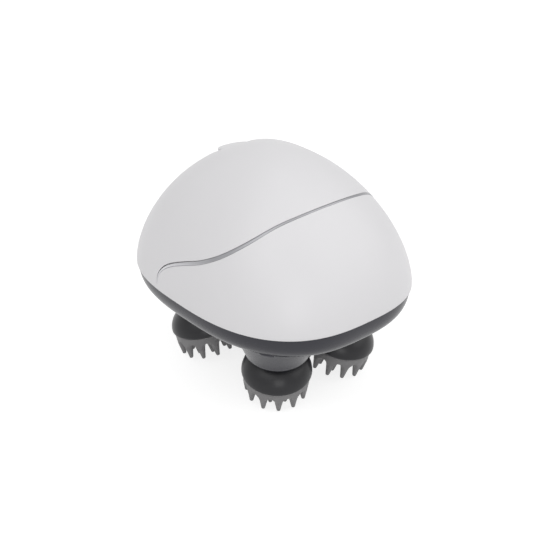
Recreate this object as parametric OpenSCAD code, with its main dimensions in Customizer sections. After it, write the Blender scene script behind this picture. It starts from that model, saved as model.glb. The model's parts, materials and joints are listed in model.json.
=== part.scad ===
// Electric scalp massager: a domed hand-held body with four turning heads.
// The heads lean towards each other, so that their fingers lie round a skull.
// A motor on the centre line turns one bevel sun gear, which turns all four heads.
// Z = 0 is the plane that the fingertips stand on. The front is -Y, up is +Z.

/* [Cover] */
// Width of the body across its rim
body_w = 109.5; // [105:0.5:120]
// Length of the body along its rim
body_l = 132.4; // [128:0.5:145]
// Height of the dome above its rim
dome_h = 61; // [58:0.5:72]
// Wall of the white cover
cover_wall = 2.2; // [1.8:0.1:2.8]
// Squareness of the rim's outline (2 is an ellipse)
rim_n = 2.67; // [2.4:0.01:2.9]
// Squareness of the outline near the top
top_n = 2.42; // [2:0.01:2.8]
// Fullness of the dome's side at its rim
side_p = 1.89; // [1.8:0.01:2.3]
// Fullness of the dome's crown
crown_q = 1.63; // [1.55:0.01:2.2]

/* [Trim strip] */
// Width of the silver strip, seen from the side
trim_w = 2; // [1.2:0.1:3]
// Depth of the silver strip in the cover
trim_t = 1; // [0.6:0.1:1.2]
// Dark gap left along the strip's rear edge
trim_gap = 0.35; // [0.1:0.05:0.6]
// How far back the strip's lower end lies
trim_end_y = 17; // [12:0.5:22]
// Height of the strip over the front of the dome
trim_front_h = 46.6; // [42:0.2:50]

/* [Casing] */
// Depth of the grey casing below the rim
casing_d = 12.5; // [12:0.1:14]
// Wall of the grey casing
casing_wall = 2.2; // [1.8:0.1:2.6]
// How far the casing's lower edge is drawn in
casing_in = 9; // [7:0.1:10]
// Step from the cover's edge in to the casing's side
casing_step = 0.8; // [0.4:0.1:1.4]
// Gap between cover and casing, filled by the seal
seal_t = 0.5; // [0.3:0.1:0.8]
// Height of the casing's lip inside the cover
lip_h = 3; // [2:0.5:4]
// Thickness of the casing's lip
lip_t = 1.4; // [1.2:0.1:1.8]
// Gap between the lip and the cover's wall
lip_gap = 0.5; // [0.4:0.1:0.8]

/* [Heads] */
// Distance of a head's finger ring from the body's centre line, across
head_x = 18.6; // [18.2:0.1:20]
// Distance of a head's finger ring from the body's centre line, along
head_y = 25.4; // [25:0.1:27]
// Lean of each head's axis
head_tilt = 13; // [11.5:0.5:14]
// Height of the rim above the plane of the fingertips
stand_h = 51.5; // [51:0.5:54]
// Radius of the skirt's lower edge
skirt_r = 15.4; // [15:0.1:16.4]
// Radius of the skirt where it meets the casing
skirt_top_r = 18.6; // [17.5:0.1:19.5]
// Wall of the skirt
skirt_wall = 2; // [1.6:0.1:2.4]
// Length from the fingertips to the skirt's edge
skirt_up = 27.3; // [26.8:0.1:29]
// Widest radius of the black bell
bell_r = 16.5; // [15.5:0.1:17.5]
// Height of the bell's dome
bell_h = 14; // [12.5:0.1:14.6]
// Wall of the bell
bell_wall = 1.8; // [1.4:0.1:2.2]

/* [Finger pads] */
// Length of the fingers with their pad's rim
pad_h = 10.6; // [9.5:0.1:11.4]
// Height of the pad's solid rim
pad_rim_h = 2.3; // [1.8:0.1:3]
// Thickness of the pad's disc
pad_disc_t = 2; // [1.6:0.1:2.4]
// Number of fingers in the outer ring
outer_fingers = 12; // [10:1:13]
// Radius of the outer ring at the tips
outer_ring_r = 13.9; // [13.4:0.1:14.4]
// Number of fingers in the inner ring
inner_fingers = 8; // [6:1:9]
// Radius of the inner ring
inner_ring_r = 9; // [8.5:0.1:9.4]
// Radius of a finger at its root
finger_root_r = 2; // [1.6:0.1:2.2]
// Radius of a finger at its tip
finger_tip_r = 1; // [0.8:0.05:1.2]
// Radius of the flat on a finger's tip
finger_flat_r = 0.55; // [0.4:0.05:0.7]
// Height of the bevel round that flat
finger_bevel = 0.45; // [0.3:0.05:0.6]
// Height of the arched webs between the outer fingers' roots
web_h = 1.7; // [1.2:0.1:2]

/* [Gears] */
// Pressure angle of all teeth
pressure = 20; // [18:0.5:22]
// Play between meshing teeth, along the pitch circle
backlash = 0.16; // [0.12:0.01:0.24]
// Tooth size of the bevel gears
bevel_m = 1.5; // [1.48:0.01:1.52]
// Teeth of the bevel sun gear
sun_teeth = 36;
// Teeth of each head's bevel gear
head_teeth = 22;
// Face width of the bevel gears
bevel_face = 5.5; // [4.5:0.1:5.8]
// Tooth size of the first step, motor pinion to large idler
fast_m = 0.5;
// Teeth of the motor pinion
pinion_teeth = 10;
// Teeth of the large idler
idler_big_teeth = 50;
// Tooth size of the second step, small idler to drive gear
slow_m = 0.6;
// Teeth of the small idler
idler_small_teeth = 12;
// Teeth of the drive gear
drive_teeth = 38;
// Width of the drive gear
drive_w = 4; // [3.5:0.1:4.2]
// Width of the large idler
idler_w = 3; // [2.5:0.1:3.2]

/* [Shafts and fits] */
// Radius of a head's shaft
shaft_r = 2.5; // [2.3:0.05:2.8]
// Radius of the fixed axle under the sun gear
axle_r = 1.5; // [1.3:0.05:1.8]
// Radius of the motor's shaft
rotor_r = 1; // [0.9:0.05:1.1]
// Radial clearance of turning fits
run_fit = 0.04; // [0.02:0.01:0.08]
// Radial clearance of pieces that stay put
still_fit = 0.1; // [0.05:0.05:0.15]
// Gap between the faces of turning pieces
face_gap = 0.3; // [0.2:0.05:0.4]
// Wall of the bearing tubes
tube_wall = 2; // [1.6:0.1:2.2]
// Wall of the plastic bushes
bush_wall = 1.4; // [1.1:0.1:1.6]

/* [Motor and battery] */
// Radius of the motor can
motor_r = 12.2; // [11.5:0.1:12.4]
// Length of the motor can
motor_l = 27; // [25:0.5:28]
// Height of the motor's plastic end cap
end_cap_h = 3.8; // [3:0.1:4.5]
// Radius of the battery cell
cell_r = 9.1; // [8.8:0.1:9.2]
// Length of the battery cell
cell_l = 65; // [60:0.5:66]
// Distance of the battery cell from the centre line
cell_x = 25.5; // [24.8:0.1:26]
// Thickness of the circuit boards
board_t = 1.2; // [0.8:0.1:1.6]

/* [Button] */
// How far behind the centre the button lies
button_y = 28; // [26:0.5:29]
// Radius of the button
button_r = 7.4; // [6.8:0.1:7.6]
// Radius of the dish around the button
dish_r = 9.4; // [9:0.1:10.4]
// Depth of the dish at its centre
dish_d = 1.9; // [1.5:0.1:2.2]
// Travel of the button
button_travel = 0.6; // [0.4:0.05:0.8]
// Gap around the button
button_gap = 0.3; // [0.2:0.05:0.4]

/* [Charging port] */
// Width of the port's metal shell
port_w = 9; // [8.5:0.1:9.5]
// Height of the port's metal shell
port_h = 3.2; // [3:0.1:3.4]
// Depth of the port's metal shell
port_l = 7.4; // [6.5:0.1:8]
// How far below the rim the port lies
port_drop = 5.4; // [5:0.1:6]
// Thickness of the plug's outer tab
plug_t = 1.6; // [1.2:0.1:2]

/* [Hidden] */
$fn = 64;
e = 0.01;

// Colours
white = [0.9, 0.9, 0.91];
silver = [0.72, 0.73, 0.75];
casing_grey = [0.36, 0.36, 0.4];
bell_black = [0.13, 0.13, 0.14];
pad_grey = [0.52, 0.52, 0.53];
steel = [0.7, 0.71, 0.73];
brass = [0.8, 0.66, 0.35];
acetal = [0.92, 0.91, 0.86];
chassis_grey = [0.3, 0.31, 0.33];
board_green = [0.08, 0.36, 0.2];
rubber_black = [0.08, 0.08, 0.09];

// Main planes
rim_z = stand_h;
floor_z = rim_z - casing_d;
floor_top = floor_z + casing_wall;

// Outline of the body: a superellipse, and rings of it up the dome
// (points round it, and rings up it; hidden faces take fewer)
dome_segs = 64;
dome_rings = 15;
inner_segs = 40;
inner_rings = 8;
function outline_r(a, half_w, half_l, n) =
    pow(pow(abs(cos(a)) / half_w, n) + pow(abs(sin(a)) / half_l, n), -1 / n);
function outline(half_w, half_l, n, z, segs) =
    [for (i = [0:segs - 1]) let(a = i * 360 / segs, r = outline_r(a, half_w, half_l, n))
        [r * cos(a), r * sin(a), z]];
function dome_ring(inset, t, segs) = let(
    height = dome_h - inset,
    share = pow(cos(90 * t), 2 / side_p),
    up = pow(sin(90 * t), 2 / crown_q),
    w = pow(up, 1.5),
    n = rim_n * (1 - w) + top_n * w)
    outline((body_w / 2 - inset) * share, (body_l / 2 - inset) * share, n, rim_z + height * up,
        segs);
// Height of the dome above the rim on its centre line, and its slope there in degrees
function dome_height(y) =
    dome_h * pow(1 - pow(abs(y) / (body_l / 2), side_p), 1 / crown_q);
function dome_slope(y) = atan((dome_height(y - 0.1) - dome_height(y + 0.1)) / 0.2);

// One closed solid through a list of rings with the same number of points
module ring_solid(rings) {
    count = len(rings[0]);
    last = len(rings) - 1;
    points = [for (ring = rings) each ring];
    sides = [for (j = [0:last - 1]) for (i = [0:count - 1])
        let(a = j * count + i, b = j * count + (i + 1) % count)
        each [[a, b + count, b], [a, a + count, b + count]]];
    bottom = [for (i = [0:count - 1]) i];
    top = [for (i = [count - 1:-1:0]) last * count + i];
    polyhedron(points, concat(sides, [bottom], [top]), convexity = 6);
}

// The dome as a solid, its surface set in by inset, and reaching drop below the rim
module dome(inset = 0, drop = 0, segs = dome_segs, count = dome_rings) {
    rings = [for (j = [0:count]) dome_ring(inset, j == count ? 0.985 : j / count, segs)];
    skirt = outline(body_w / 2 - inset, body_l / 2 - inset, rim_n, rim_z - drop, segs);
    ring_solid(drop > 0 ? concat([skirt], rings) : rings);
}

// The plan outline as a flat shape
module plan(inset, segs = dome_segs) {
    polygon([for (p = outline(body_w / 2 - inset, body_l / 2 - inset, rim_n, 0, segs)) [p[0], p[1]]]);
}

// Evaluates a dense solid as one closed mesh
module as_mesh() { resize([0, 0, 0]) children(); }

// Rims of the bells, and the lean of the outer fingers on their pads
bell_low_r = bell_r - 0.9;
pad_rim_low = pad_h - pad_rim_h;
root_ring_r = bell_low_r - finger_root_r - 0.1;
outer_lean = atan((outer_ring_r - root_ring_r) / pad_rim_low);

// Head axes: they all meet in one point on the centre line, below the body
head_ring = sqrt(pow(head_x, 2) + pow(head_y, 2));
tips_z = (outer_ring_r + finger_flat_r * cos(outer_lean)) * sin(head_tilt)
    - finger_flat_r * sin(outer_lean) * cos(head_tilt);
apex_z = tips_z - head_ring / tan(head_tilt);
apex_len = head_ring / sin(head_tilt);
HEADS = [[-1, -1], [1, -1], [-1, 1], [1, 1]];
function head_dir(i) = atan2(HEADS[i][1] * head_y, HEADS[i][0] * head_x);
// Where a head's axis passes a height, and how far up its axis that is from the tips
function head_reach(z) = (z - apex_z) * tan(head_tilt);
function head_up(z) = (z - tips_z) / cos(head_tilt);

// Frame of head i: local Z runs up its axis from the plane of its fingertips
module on_head(i, turn = 0) {
    translate([0, 0, apex_z]) rotate([0, 0, head_dir(i)]) rotate([0, head_tilt, 0])
        translate([0, 0, apex_len]) rotate([0, 0, turn]) children();
}

// Where each head stands at rest
head_stop = [0, 27, 3, 23];

// Bevel gears: pitch cones that share the heads' common point
sun_cone = atan(sin(head_tilt) / (head_teeth / sun_teeth + cos(head_tilt)));
head_cone = head_tilt - sun_cone;
cone_len = bevel_m * sun_teeth / 2 / sin(sun_cone);
sun_top = apex_z + cone_len * cos(sun_cone);
sun_low = sun_top - bevel_face;
head_gear_top = cone_len * cos(head_cone) - apex_len;
head_gear_low = head_gear_top - bevel_face;

// Levels of the spur gears above the sun
drive_top = sun_top + drive_w;
idler_z = drive_top + face_gap;
bridge_z = idler_z + idler_w + face_gap;
bridge_t = 2.4;
bridge_top = bridge_z + bridge_t;
idler_dist = fast_m * (pinion_teeth + idler_big_teeth) / 2;
idler_dir = -90;
idler_turn = 180 + idler_dir * drive_teeth / idler_small_teeth - 180 / idler_small_teeth;
pinion_turn = 180 / pinion_teeth;
drive_hub_r = 5;

// Tooth outline: involute flanks in three points, thinned by the play
function inv(a) = tan(a) * 180 / PI - a;
function flank(m, teeth, r) = let(
    pitch_r = m * teeth / 2,
    base_r = pitch_r * cos(pressure),
    lean = r > base_r ? inv(acos(base_r / r)) : 0)
    90 / teeth - backlash / 4 / pitch_r * 180 / PI + inv(pressure) - lean;
module gear_outline(m, teeth) {
    pitch_r = m * teeth / 2;
    root_r = pitch_r - 1.25 * m;
    tip_r = pitch_r + m;
    radii = [root_r, pitch_r, tip_r];
    polygon([for (k = [0:teeth - 1]) let(mid = k * 360 / teeth) each concat(
        [for (r = radii) let(a = mid - flank(m, teeth, r)) [r * cos(a), r * sin(a)]],
        [for (j = [2:-1:0]) let(r = radii[j], a = mid + flank(m, teeth, r))
            [r * cos(a), r * sin(a)]])]);
}
module spur_gear(m, teeth, w) {
    linear_extrude(height = w) gear_outline(m, teeth);
}
// A bevel gear whose teeth shrink towards the common point, large end up at its top
module bevel_gear(teeth, cone) {
    reach = cone_len * cos(cone);
    small = (reach - bevel_face) / reach;
    translate([0, 0, -bevel_face])
        linear_extrude(height = bevel_face, scale = 1 / small)
            scale(small) gear_outline(bevel_m, teeth);
}

// Screws: a pan head with a cross recess and a shank, head's underside at Z = 0, shank down
module screw(shank_r, length, head_r, head_t) {
    difference() {
        cylinder(r = head_r, h = head_t);
        for (turn = [0, 90]) rotate([0, 0, turn])
            translate([-head_r * 0.6, -head_r * 0.12, head_t * 0.5])
                cube([head_r * 1.2, head_r * 0.24, head_t]);
    }
    translate([0, 0, -length]) cylinder(r = shank_r, h = length);
}
module ring(outer_r, inner_r, h) {
    difference() {
        cylinder(r = outer_r, h = h);
        translate([0, 0, -e]) cylinder(r = inner_r, h = h + 2 * e);
    }
}

/* ---------- Cover and trim ---------- */

// The strip's path seen from the side: steps back from its rear end, and heights over the rim
trim_shape = [[0, 2.5], [-0.4, 7.5], [-3.5, 11.6], [-9, 15.4], [-17, 18.9], [-27, 22.8],
    [-37, 28.6], [-45.5, 36], [-51.5, 42.6], [-55.4, 46.6], [-63, 54]];
trim_path = [for (p = trim_shape) [trim_end_y + p[0], rim_z + p[1] * trim_front_h / 46.6]];
trim_steps = 2;
// Smooth curve through the path's points
function curve_at(p, k, t) = let(
    last = len(p) - 1,
    a = p[max(k - 1, 0)], b = p[k], c = p[min(k + 1, last)], d = p[min(k + 2, last)])
    0.5 * (2 * b + (c - a) * t + (2 * a - 5 * b + 4 * c - d) * t * t
        + (3 * b - a - 3 * c + d) * t * t * t);
trim_curve = [for (k = [0:len(trim_path) - 2]) for (j = [0:trim_steps - 1])
    curve_at(trim_path, k, j / trim_steps)];
// The curve moved sideways, to its rear and upper side
function trim_side(shift) = [for (k = [1:len(trim_curve) - 2])
    let(d = trim_curve[k + 1] - trim_curve[k - 1]) trim_curve[k] + [d[1], -d[0]] / norm(d) * shift];
module trim_band(front, rear) {
    back = trim_side(-front);
    edge = trim_side(rear);
    rotate([90, 0, 90]) linear_extrude(height = body_w * 1.2, center = true)
        polygon(concat(back, [for (k = [len(edge) - 1:-1:0]) edge[k]]));
}
module trim_strip() color(silver) as_mesh() intersection() {
    difference() {
        dome();
        dome(trim_t - still_fit, 1);
    }
    trim_band(trim_w / 2, trim_w / 2);
}
module trim_groove() {
    difference() {
        trim_band(trim_w / 2 + still_fit / 2, trim_w / 2 + trim_gap);
        dome(trim_t, 1);
    }
}

// Frame of the button: local Z points out of the dome
button_tilt = dome_slope(button_y);
module on_button() {
    translate([0, button_y, rim_z + dome_height(button_y)]) rotate([-button_tilt, 0, 0]) children();
}
// The dish is a shallow bowl that reaches dish_r where it leaves the dome
dish_drop = 0.7;
dish_sag = dish_d - dish_drop;
dish_ball_r = (dish_r * dish_r + dish_sag * dish_sag) / (2 * dish_sag);
button_pad_t = 2.4;
pad_low = -dish_d - button_pad_t;
module dish() {
    translate([0, 0, dish_ball_r - dish_d]) sphere(r = dish_ball_r, $fn = 48);
}

// Screw places on the casing's underside
cover_screw_x = 14;
cover_screw_y = 54;
COVER_SCREWS = [for (sx = [-1, 1]) for (sy = [-1, 1]) [sx * cover_screw_x, sy * cover_screw_y]];
screw_r = 1.3;
pilot_r = 1.35;
screw_head_r = 2.5;
screw_head_t = 1.5;
boss_r = 3.5;
cover_boss_z = floor_top + 3;
board_post_x = button_r + 3.9;
board_post_r = 1.8;

module upper_cover() color(white) as_mesh() difference() {
    union() {
        difference() {
            dome();
            dome(cover_wall, 1, inner_segs, inner_rings);
        }
        intersection() {
            dome(cover_wall * 0.6, casing_d, inner_segs, inner_rings);
            union() {
                for (p = COVER_SCREWS) translate([p[0], p[1], cover_boss_z])
                    cylinder(r = boss_r, h = dome_h, $fn = 24);
                on_button() translate([0, 0, pad_low])
                    cylinder(r = dish_r + 1.6, h = 2 * dish_r, $fn = 40);
                on_button() for (sx = [-1, 1]) translate([sx * board_post_x, 0, button_board_z + board_t])
                    cylinder(r = board_post_r, h = -button_board_z - board_t - 1, $fn = 20);
            }
        }
    }
    trim_groove();
    on_button() {
        dish();
        translate([0, 0, pad_low - 1]) cylinder(r = button_r + button_gap, h = 10, $fn = 48);
        for (sx = [-1, 1]) translate([sx * board_post_x, 0, button_board_z])
            cylinder(r = 0.8, h = 6, $fn = 16);
    }
    for (p = COVER_SCREWS) translate([p[0], p[1], cover_boss_z - 1])
        cylinder(r = pilot_r, h = 11, $fn = 20);
}

/* ---------- Button ---------- */

button_flange_t = 1;
button_flange_r = button_r + 1.4;
flange_top = pad_low - 0.1;
stem_r = 1.6;
stem_low = -8.2;
switch_h = 3.4;
plunger_h = 0.9;
plunger_r = 1.75;
plunger_in = 0.5;
button_board_z = stem_low - face_gap / 2 - plunger_h - switch_h - board_t;

module power_button() color(white) on_button() {
    difference() {
        union() {
            translate([0, 0, flange_top - e]) cylinder(r = button_r, h = -flange_top);
            translate([0, 0, flange_top - button_flange_t])
                cylinder(r = button_flange_r, h = button_flange_t);
        }
        translate([0, 0, 0.25]) dish();
        translate([0, 0, flange_top - button_flange_t - 1]) cylinder(r = button_r - 1.6, h = 1.8);
    }
    translate([0, 0, stem_low]) cylinder(r = stem_r, h = pad_low - stem_low + 0.6);
}
button_board_l = 2 * board_post_x + 4.8;
button_board_w = 14;
module button_board() color(board_green) on_button() difference() {
    translate([-button_board_l / 2, -button_board_w / 2, button_board_z])
        cube([button_board_l, button_board_w, board_t]);
    for (sx = [-1, 1]) translate([sx * board_post_x, 0, button_board_z - 1])
        cylinder(r = 1.1, h = 4);
}
module tact_switch() color(rubber_black) on_button()
    translate([0, 0, button_board_z + board_t]) difference() {
        translate([-3, -3, 0]) cube([6, 6, switch_h]);
        translate([0, 0, switch_h - plunger_in - button_travel - still_fit])
            cylinder(r = plunger_r + still_fit, h = 3);
    }
module switch_plunger() color([0.85, 0.2, 0.15]) on_button()
    translate([0, 0, button_board_z + board_t + switch_h - plunger_in])
        cylinder(r = plunger_r, h = plunger_h + plunger_in);
module button_screws() color(steel) on_button()
    for (sx = [-1, 1]) translate([sx * board_post_x, 0, button_board_z]) rotate([180, 0, 0])
        screw(0.75, board_t + 4.5, 1.6, 1);

/* ---------- Casing ---------- */

casing_rings = 6;
casing_n = 2.4;
function casing_ring(wall, t, segs) = let(
    side = pow(cos(90 * t), 2 / casing_n),
    down = pow(sin(90 * t), 2 / casing_n),
    inset = casing_step + wall + (casing_in - casing_step) * (1 - side))
    outline(body_w / 2 - inset, body_l / 2 - inset, rim_n,
        rim_z - seal_t - (casing_d - seal_t - wall) * down, segs);
// The casing's bowl as a solid; wall sets it in on its sides and floor
module casing_bowl(wall = 0, segs = dome_segs, count = casing_rings) {
    ring_solid([for (j = [count:-1:0]) casing_ring(wall, j / count, segs)]);
}
skirt_base_up = head_up(floor_z);
skirt_fillet = 1.8;
skirt_hole_r = skirt_r - skirt_wall;
// A skirt's outer cone, flared where it meets the casing, and the hollow inside it
module skirt_outer() {
    rotate_extrude($fn = 36) polygon([[0, skirt_up], [skirt_r - 0.5, skirt_up], [skirt_r, skirt_up + 0.5],
        [skirt_top_r, skirt_base_up], [skirt_top_r + skirt_fillet, skirt_base_up + 2 * skirt_fillet],
        [skirt_top_r + skirt_fillet, skirt_base_up + 7], [0, skirt_base_up + 7]]);
}
module skirt_hollow() {
    rotate_extrude($fn = 36) polygon([[0, skirt_up - 1], [skirt_hole_r, skirt_up - 1],
        [skirt_top_r - skirt_wall, skirt_base_up + 5], [0, skirt_base_up + 5]]);
}
module below(z) {
    translate([-body_w, -body_l, z - body_l]) cube([2 * body_w, 2 * body_l, body_l]);
}
tube_bore_r = shaft_r + bush_wall;
tube_r = tube_bore_r + tube_wall;
tube_low = skirt_up + 3.2;
tube_top = head_gear_low - 1.2;
port_z = rim_z - port_drop;
port_y = body_l / 2;
port_shelf = 1.4;
// A flat slot with round ends that runs along Y
module slot_shape(w, h, y0, y1) {
    translate([0, y1, 0]) rotate([90, 0, 0]) linear_extrude(height = y1 - y0) {
        square([w - h, h], center = true);
        for (sx = [-1, 1]) translate([sx * (w - h) / 2, 0]) circle(r = h / 2, $fn = 32);
    }
}
plug_tab_w = port_w + 5;
plug_tab_h = port_h + 3.4;
plug_tab_y = port_y - casing_step - port_shelf - 0.6;
socket_y = plug_tab_y - 1.8;
charge_board_w = 16;
charge_board_l = 11.8;
charge_board_y = socket_y - 1.7 - charge_board_l;
// Posts of the gearbox: two beside it, and two that end in front of the charge board
post_r = 3.4;
post_x = 33.5;
post_y = charge_board_y - 0.7 - post_r;
BASE_POSTS = [[post_x, 0], [-post_x, 0], [0, post_y], [0, -post_y]];

module lower_casing() color(casing_grey) as_mesh() difference() {
    union() {
        difference() {
            casing_bowl();
            casing_bowl(casing_wall, inner_segs, inner_rings - 4);
            translate([0, 0, rim_z - seal_t - 0.5]) linear_extrude(height = 2)
                plan(casing_step + casing_wall, inner_segs);
        }
        translate([0, 0, rim_z - seal_t - 1.5]) linear_extrude(height = lip_h + seal_t + 1.5)
            difference() {
                plan(cover_wall + lip_gap, inner_segs);
                plan(cover_wall + lip_gap + lip_t, inner_segs);
            }
        intersection() {
            for (i = [0:3]) on_head(i) skirt_outer();
            below(floor_top);
        }
        for (p = COVER_SCREWS) translate([p[0], p[1], floor_z])
            cylinder(r = boss_r + 0.5, h = cover_boss_z - floor_z - 0.1, $fn = 24);
        intersection() {
            casing_bowl();
            translate([-plug_tab_w / 2 - 1.5, plug_tab_y - 1.6, floor_top - 1])
                cube([plug_tab_w + 3, 9, port_z - floor_top + plug_tab_h / 2 + 2.6]);
        }
    }
    intersection() {
        for (i = [0:3]) on_head(i) skirt_hollow();
        below(floor_z);
    }
    for (i = [0:3]) on_head(i) translate([0, 0, skirt_up])
        cylinder(r = tube_r + still_fit, h = skirt_base_up, $fn = 28);
    for (p = COVER_SCREWS) translate([p[0], p[1], floor_z - 1]) {
        cylinder(r = screw_r + 0.25, h = 20, $fn = 12);
        cylinder(r = screw_head_r + 0.2, h = 1 + screw_head_t, $fn = 20);
    }
    for (p = BASE_POSTS) translate([p[0], p[1], floor_z - 1]) {
        cylinder(r = screw_r + 0.25, h = 20, $fn = 12);
        cylinder(r = screw_head_r + 0.2, h = 1 + screw_head_t - 0.4, $fn = 20);
    }
    translate([0, 0, port_z]) {
        slot_shape(port_w + 0.5, port_h + 0.5, plug_tab_y - 10, port_y + 2);
        slot_shape(plug_tab_w, plug_tab_h, plug_tab_y, port_y + 4);
    }
}
module perimeter_seal() color(rubber_black) translate([0, 0, rim_z - seal_t + 0.02])
    linear_extrude(height = seal_t - 0.04) difference() {
        plan(casing_step + 0.3);
        plan(cover_wall - 0.1);
    }
module casing_screws() color(steel) {
    for (p = COVER_SCREWS) translate([p[0], p[1], floor_z + screw_head_t]) rotate([180, 0, 0])
        screw(screw_r, cover_boss_z - floor_z - screw_head_t + 8, screw_head_r, screw_head_t);
    for (p = BASE_POSTS) translate([p[0], p[1], floor_z + screw_head_t - 0.4]) rotate([180, 0, 0])
        screw(screw_r, base_z + 9 - floor_z - screw_head_t, screw_head_r, screw_head_t - 0.4);
}

/* ---------- Charging port ---------- */

charge_board_z = port_z - port_h / 2 - board_t - 0.05;
module charge_board() color(board_green) {
    translate([-charge_board_w / 2, charge_board_y, charge_board_z])
        cube([charge_board_w, charge_board_l, board_t]);
    for (sx = [-1, 1]) translate([sx * 5.2 - 1.4, charge_board_y + 0.8, charge_board_z + board_t])
        cube([2.8, 2.4, 1]);
}
module charge_socket() color(steel) translate([0, 0, port_z]) difference() {
    slot_shape(port_w, port_h, socket_y - port_l, socket_y);
    difference() {
        slot_shape(port_w - 0.6, port_h - 0.6, socket_y - port_l + 1, socket_y + 1);
        translate([-port_w / 2 + 1.4, socket_y - port_l, -0.35]) cube([port_w - 2.8, port_l - 0.8, 0.7]);
    }
}
plug_travel = 8;
module port_plug() color(rubber_black) translate([0, 0, port_z]) difference() {
    union() {
        slot_shape(plug_tab_w - 0.4, plug_tab_h - 0.4, plug_tab_y + 0.05, plug_tab_y + 0.05 + plug_t);
        slot_shape(port_w + 0.1, port_h + 0.1, plug_tab_y - 1.6, plug_tab_y + 0.1);
    }
    slot_shape(port_w - 2, port_h - 1.6, plug_tab_y - 2, plug_tab_y);
}

/* ---------- Gearbox ---------- */

base_z = floor_top + 0.1;
base_t = 1.8;
base_top = base_z + base_t;
base_x = head_reach(base_top) * cos(atan2(head_y, head_x));
base_y = head_reach(base_top) * sin(atan2(head_y, head_x));
base_round = 12;
axle_boss_r = 6;
axle_boss_top = sun_low - 0.8 - face_gap;
module gearbox_base() color(chassis_grey) difference() {
    union() {
        translate([0, 0, base_z]) linear_extrude(height = base_t) difference() {
            union() {
                square([2 * base_x, 2 * (base_y + base_round)], center = true);
                square([2 * (base_x + base_round), 2 * base_y], center = true);
                for (sx = [-1, 1]) for (sy = [-1, 1]) translate([sx * base_x, sy * base_y])
                    circle(r = base_round);
                for (p = BASE_POSTS) translate(p) circle(r = post_r + 1.6);
                square([2 * (post_r + 1.6), 2 * post_y], center = true);
            }
            for (sx = [-1, 1]) for (sy = [-1, 1]) translate([sx * 13, sy * 13]) circle(r = 4.5);
        }
        for (i = [0:3]) on_head(i) translate([0, 0, tube_low])
            cylinder(r = tube_r, h = tube_top - tube_low);
        for (p = BASE_POSTS) translate([p[0], p[1], base_z]) cylinder(r = post_r, h = bridge_z - base_z);
        translate([0, 0, base_z]) cylinder(r = axle_boss_r, h = axle_boss_top - base_z);
        for (turn = [0:60:300]) rotate([0, 0, turn + 30]) translate([0, -0.7, base_z])
            cube([10, 1.4, 4]);
    }
    for (i = [0:3]) on_head(i) translate([0, 0, tube_low - 1])
        cylinder(r = tube_bore_r, h = tube_top - tube_low + 2);
    for (p = BASE_POSTS) {
        translate([p[0], p[1], base_z - 1]) cylinder(r = pilot_r, h = 11);
        translate([p[0], p[1], bridge_z - 9]) cylinder(r = pilot_r, h = 10);
    }
    translate([0, 0, base_z + 0.8]) cylinder(r = axle_r + 0.02, h = 20);
}
motor_screw_x = 8.5;
motor_screw_r = 1;
arm_w = 12;
rail_x = -19;
rail_h = 3.6;
main_board_l = 52;
main_board_h = 24;
module gearbox_bridge() color(chassis_grey) difference() {
    union() {
        translate([0, 0, bridge_z]) linear_extrude(height = bridge_t) {
            circle(r = motor_r + 2);
            square([2 * BASE_POSTS[0][0], arm_w], center = true);
            square([arm_w, 2 * BASE_POSTS[2][1]], center = true);
            for (p = BASE_POSTS) translate(p) circle(r = arm_w / 2);
            translate([rail_x - 2.5, -13]) square([5, 26]);
        }
        translate([0, 0, bridge_z]) difference() {
            cylinder(r = motor_r + 2, h = bridge_t + 4);
            cylinder(r = motor_r + still_fit, h = bridge_t + 5);
        }
        translate([rail_x - 2.5, -13, bridge_z]) cube([5, 26, bridge_t + rail_h]);
    }
    translate([rail_x - board_t / 2 - 0.05, -14, bridge_top + 0.6]) cube([board_t + 0.1, 28, rail_h]);
    translate([0, 0, bridge_z - 1]) cylinder(r = motor_nose_r + still_fit, h = bridge_t + 2);
    for (sx = [-1, 1]) translate([sx * motor_screw_x, 0, bridge_z - 1]) {
        cylinder(r = motor_screw_r + 0.15, h = bridge_t + 2);
        cylinder(r = 2, h = 1 + 1.3);
    }
    translate([0, -idler_dist, bridge_z - 1]) cylinder(r = idler_pin_r, h = bridge_t + 2);
    for (p = BASE_POSTS) translate([p[0], p[1], bridge_z - 1])
        cylinder(r = screw_r + 0.2, h = bridge_t + 2);
    for (sy = [-1, 1]) translate([cradle_screw_x, sy * 3.5, bridge_z - 1])
        cylinder(r = 0.8, h = bridge_t + 2);
}
module gearbox_screws() color(steel) for (p = BASE_POSTS) translate([p[0], p[1], bridge_top])
    screw(screw_r, bridge_t + 7, screw_head_r, screw_head_t);

idler_pin_r = 1;
module drive_axle() color(steel) translate([0, 0, base_z + 0.8])
    cylinder(r = axle_r, h = drive_top - 0.2 - base_z - 0.8);
module drive_gear() color(acetal) difference() {
    union() {
        translate([0, 0, sun_top]) spur_gear(slow_m, drive_teeth, drive_w);
        translate([0, 0, sun_low - 0.8]) cylinder(r = drive_hub_r, h = bevel_face + 0.8 + e);
    }
    translate([0, 0, sun_low - 2]) cylinder(r = axle_r + run_fit, h = 20);
    for (turn = [0:60:300]) rotate([0, 0, turn]) translate([7.4, 0, sun_top + drive_w - 1.2])
        cylinder(r = 1.5, h = 2);
}
module sun_bevel() color(acetal) difference() {
    translate([0, 0, sun_top]) bevel_gear(sun_teeth, sun_cone);
    translate([0, 0, sun_low - 1]) cylinder(r = drive_hub_r + 0.02, h = bevel_face + 2);
    for (turn = [0:60:300]) rotate([0, 0, turn]) translate([14.5, 0, sun_low - 1])
        cylinder(r = 5, h = bevel_face + 2);
}
module idler_pin() color(steel) translate([0, -idler_dist, sun_top + face_gap])
    cylinder(r = idler_pin_r, h = bridge_top - sun_top - face_gap);
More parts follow.
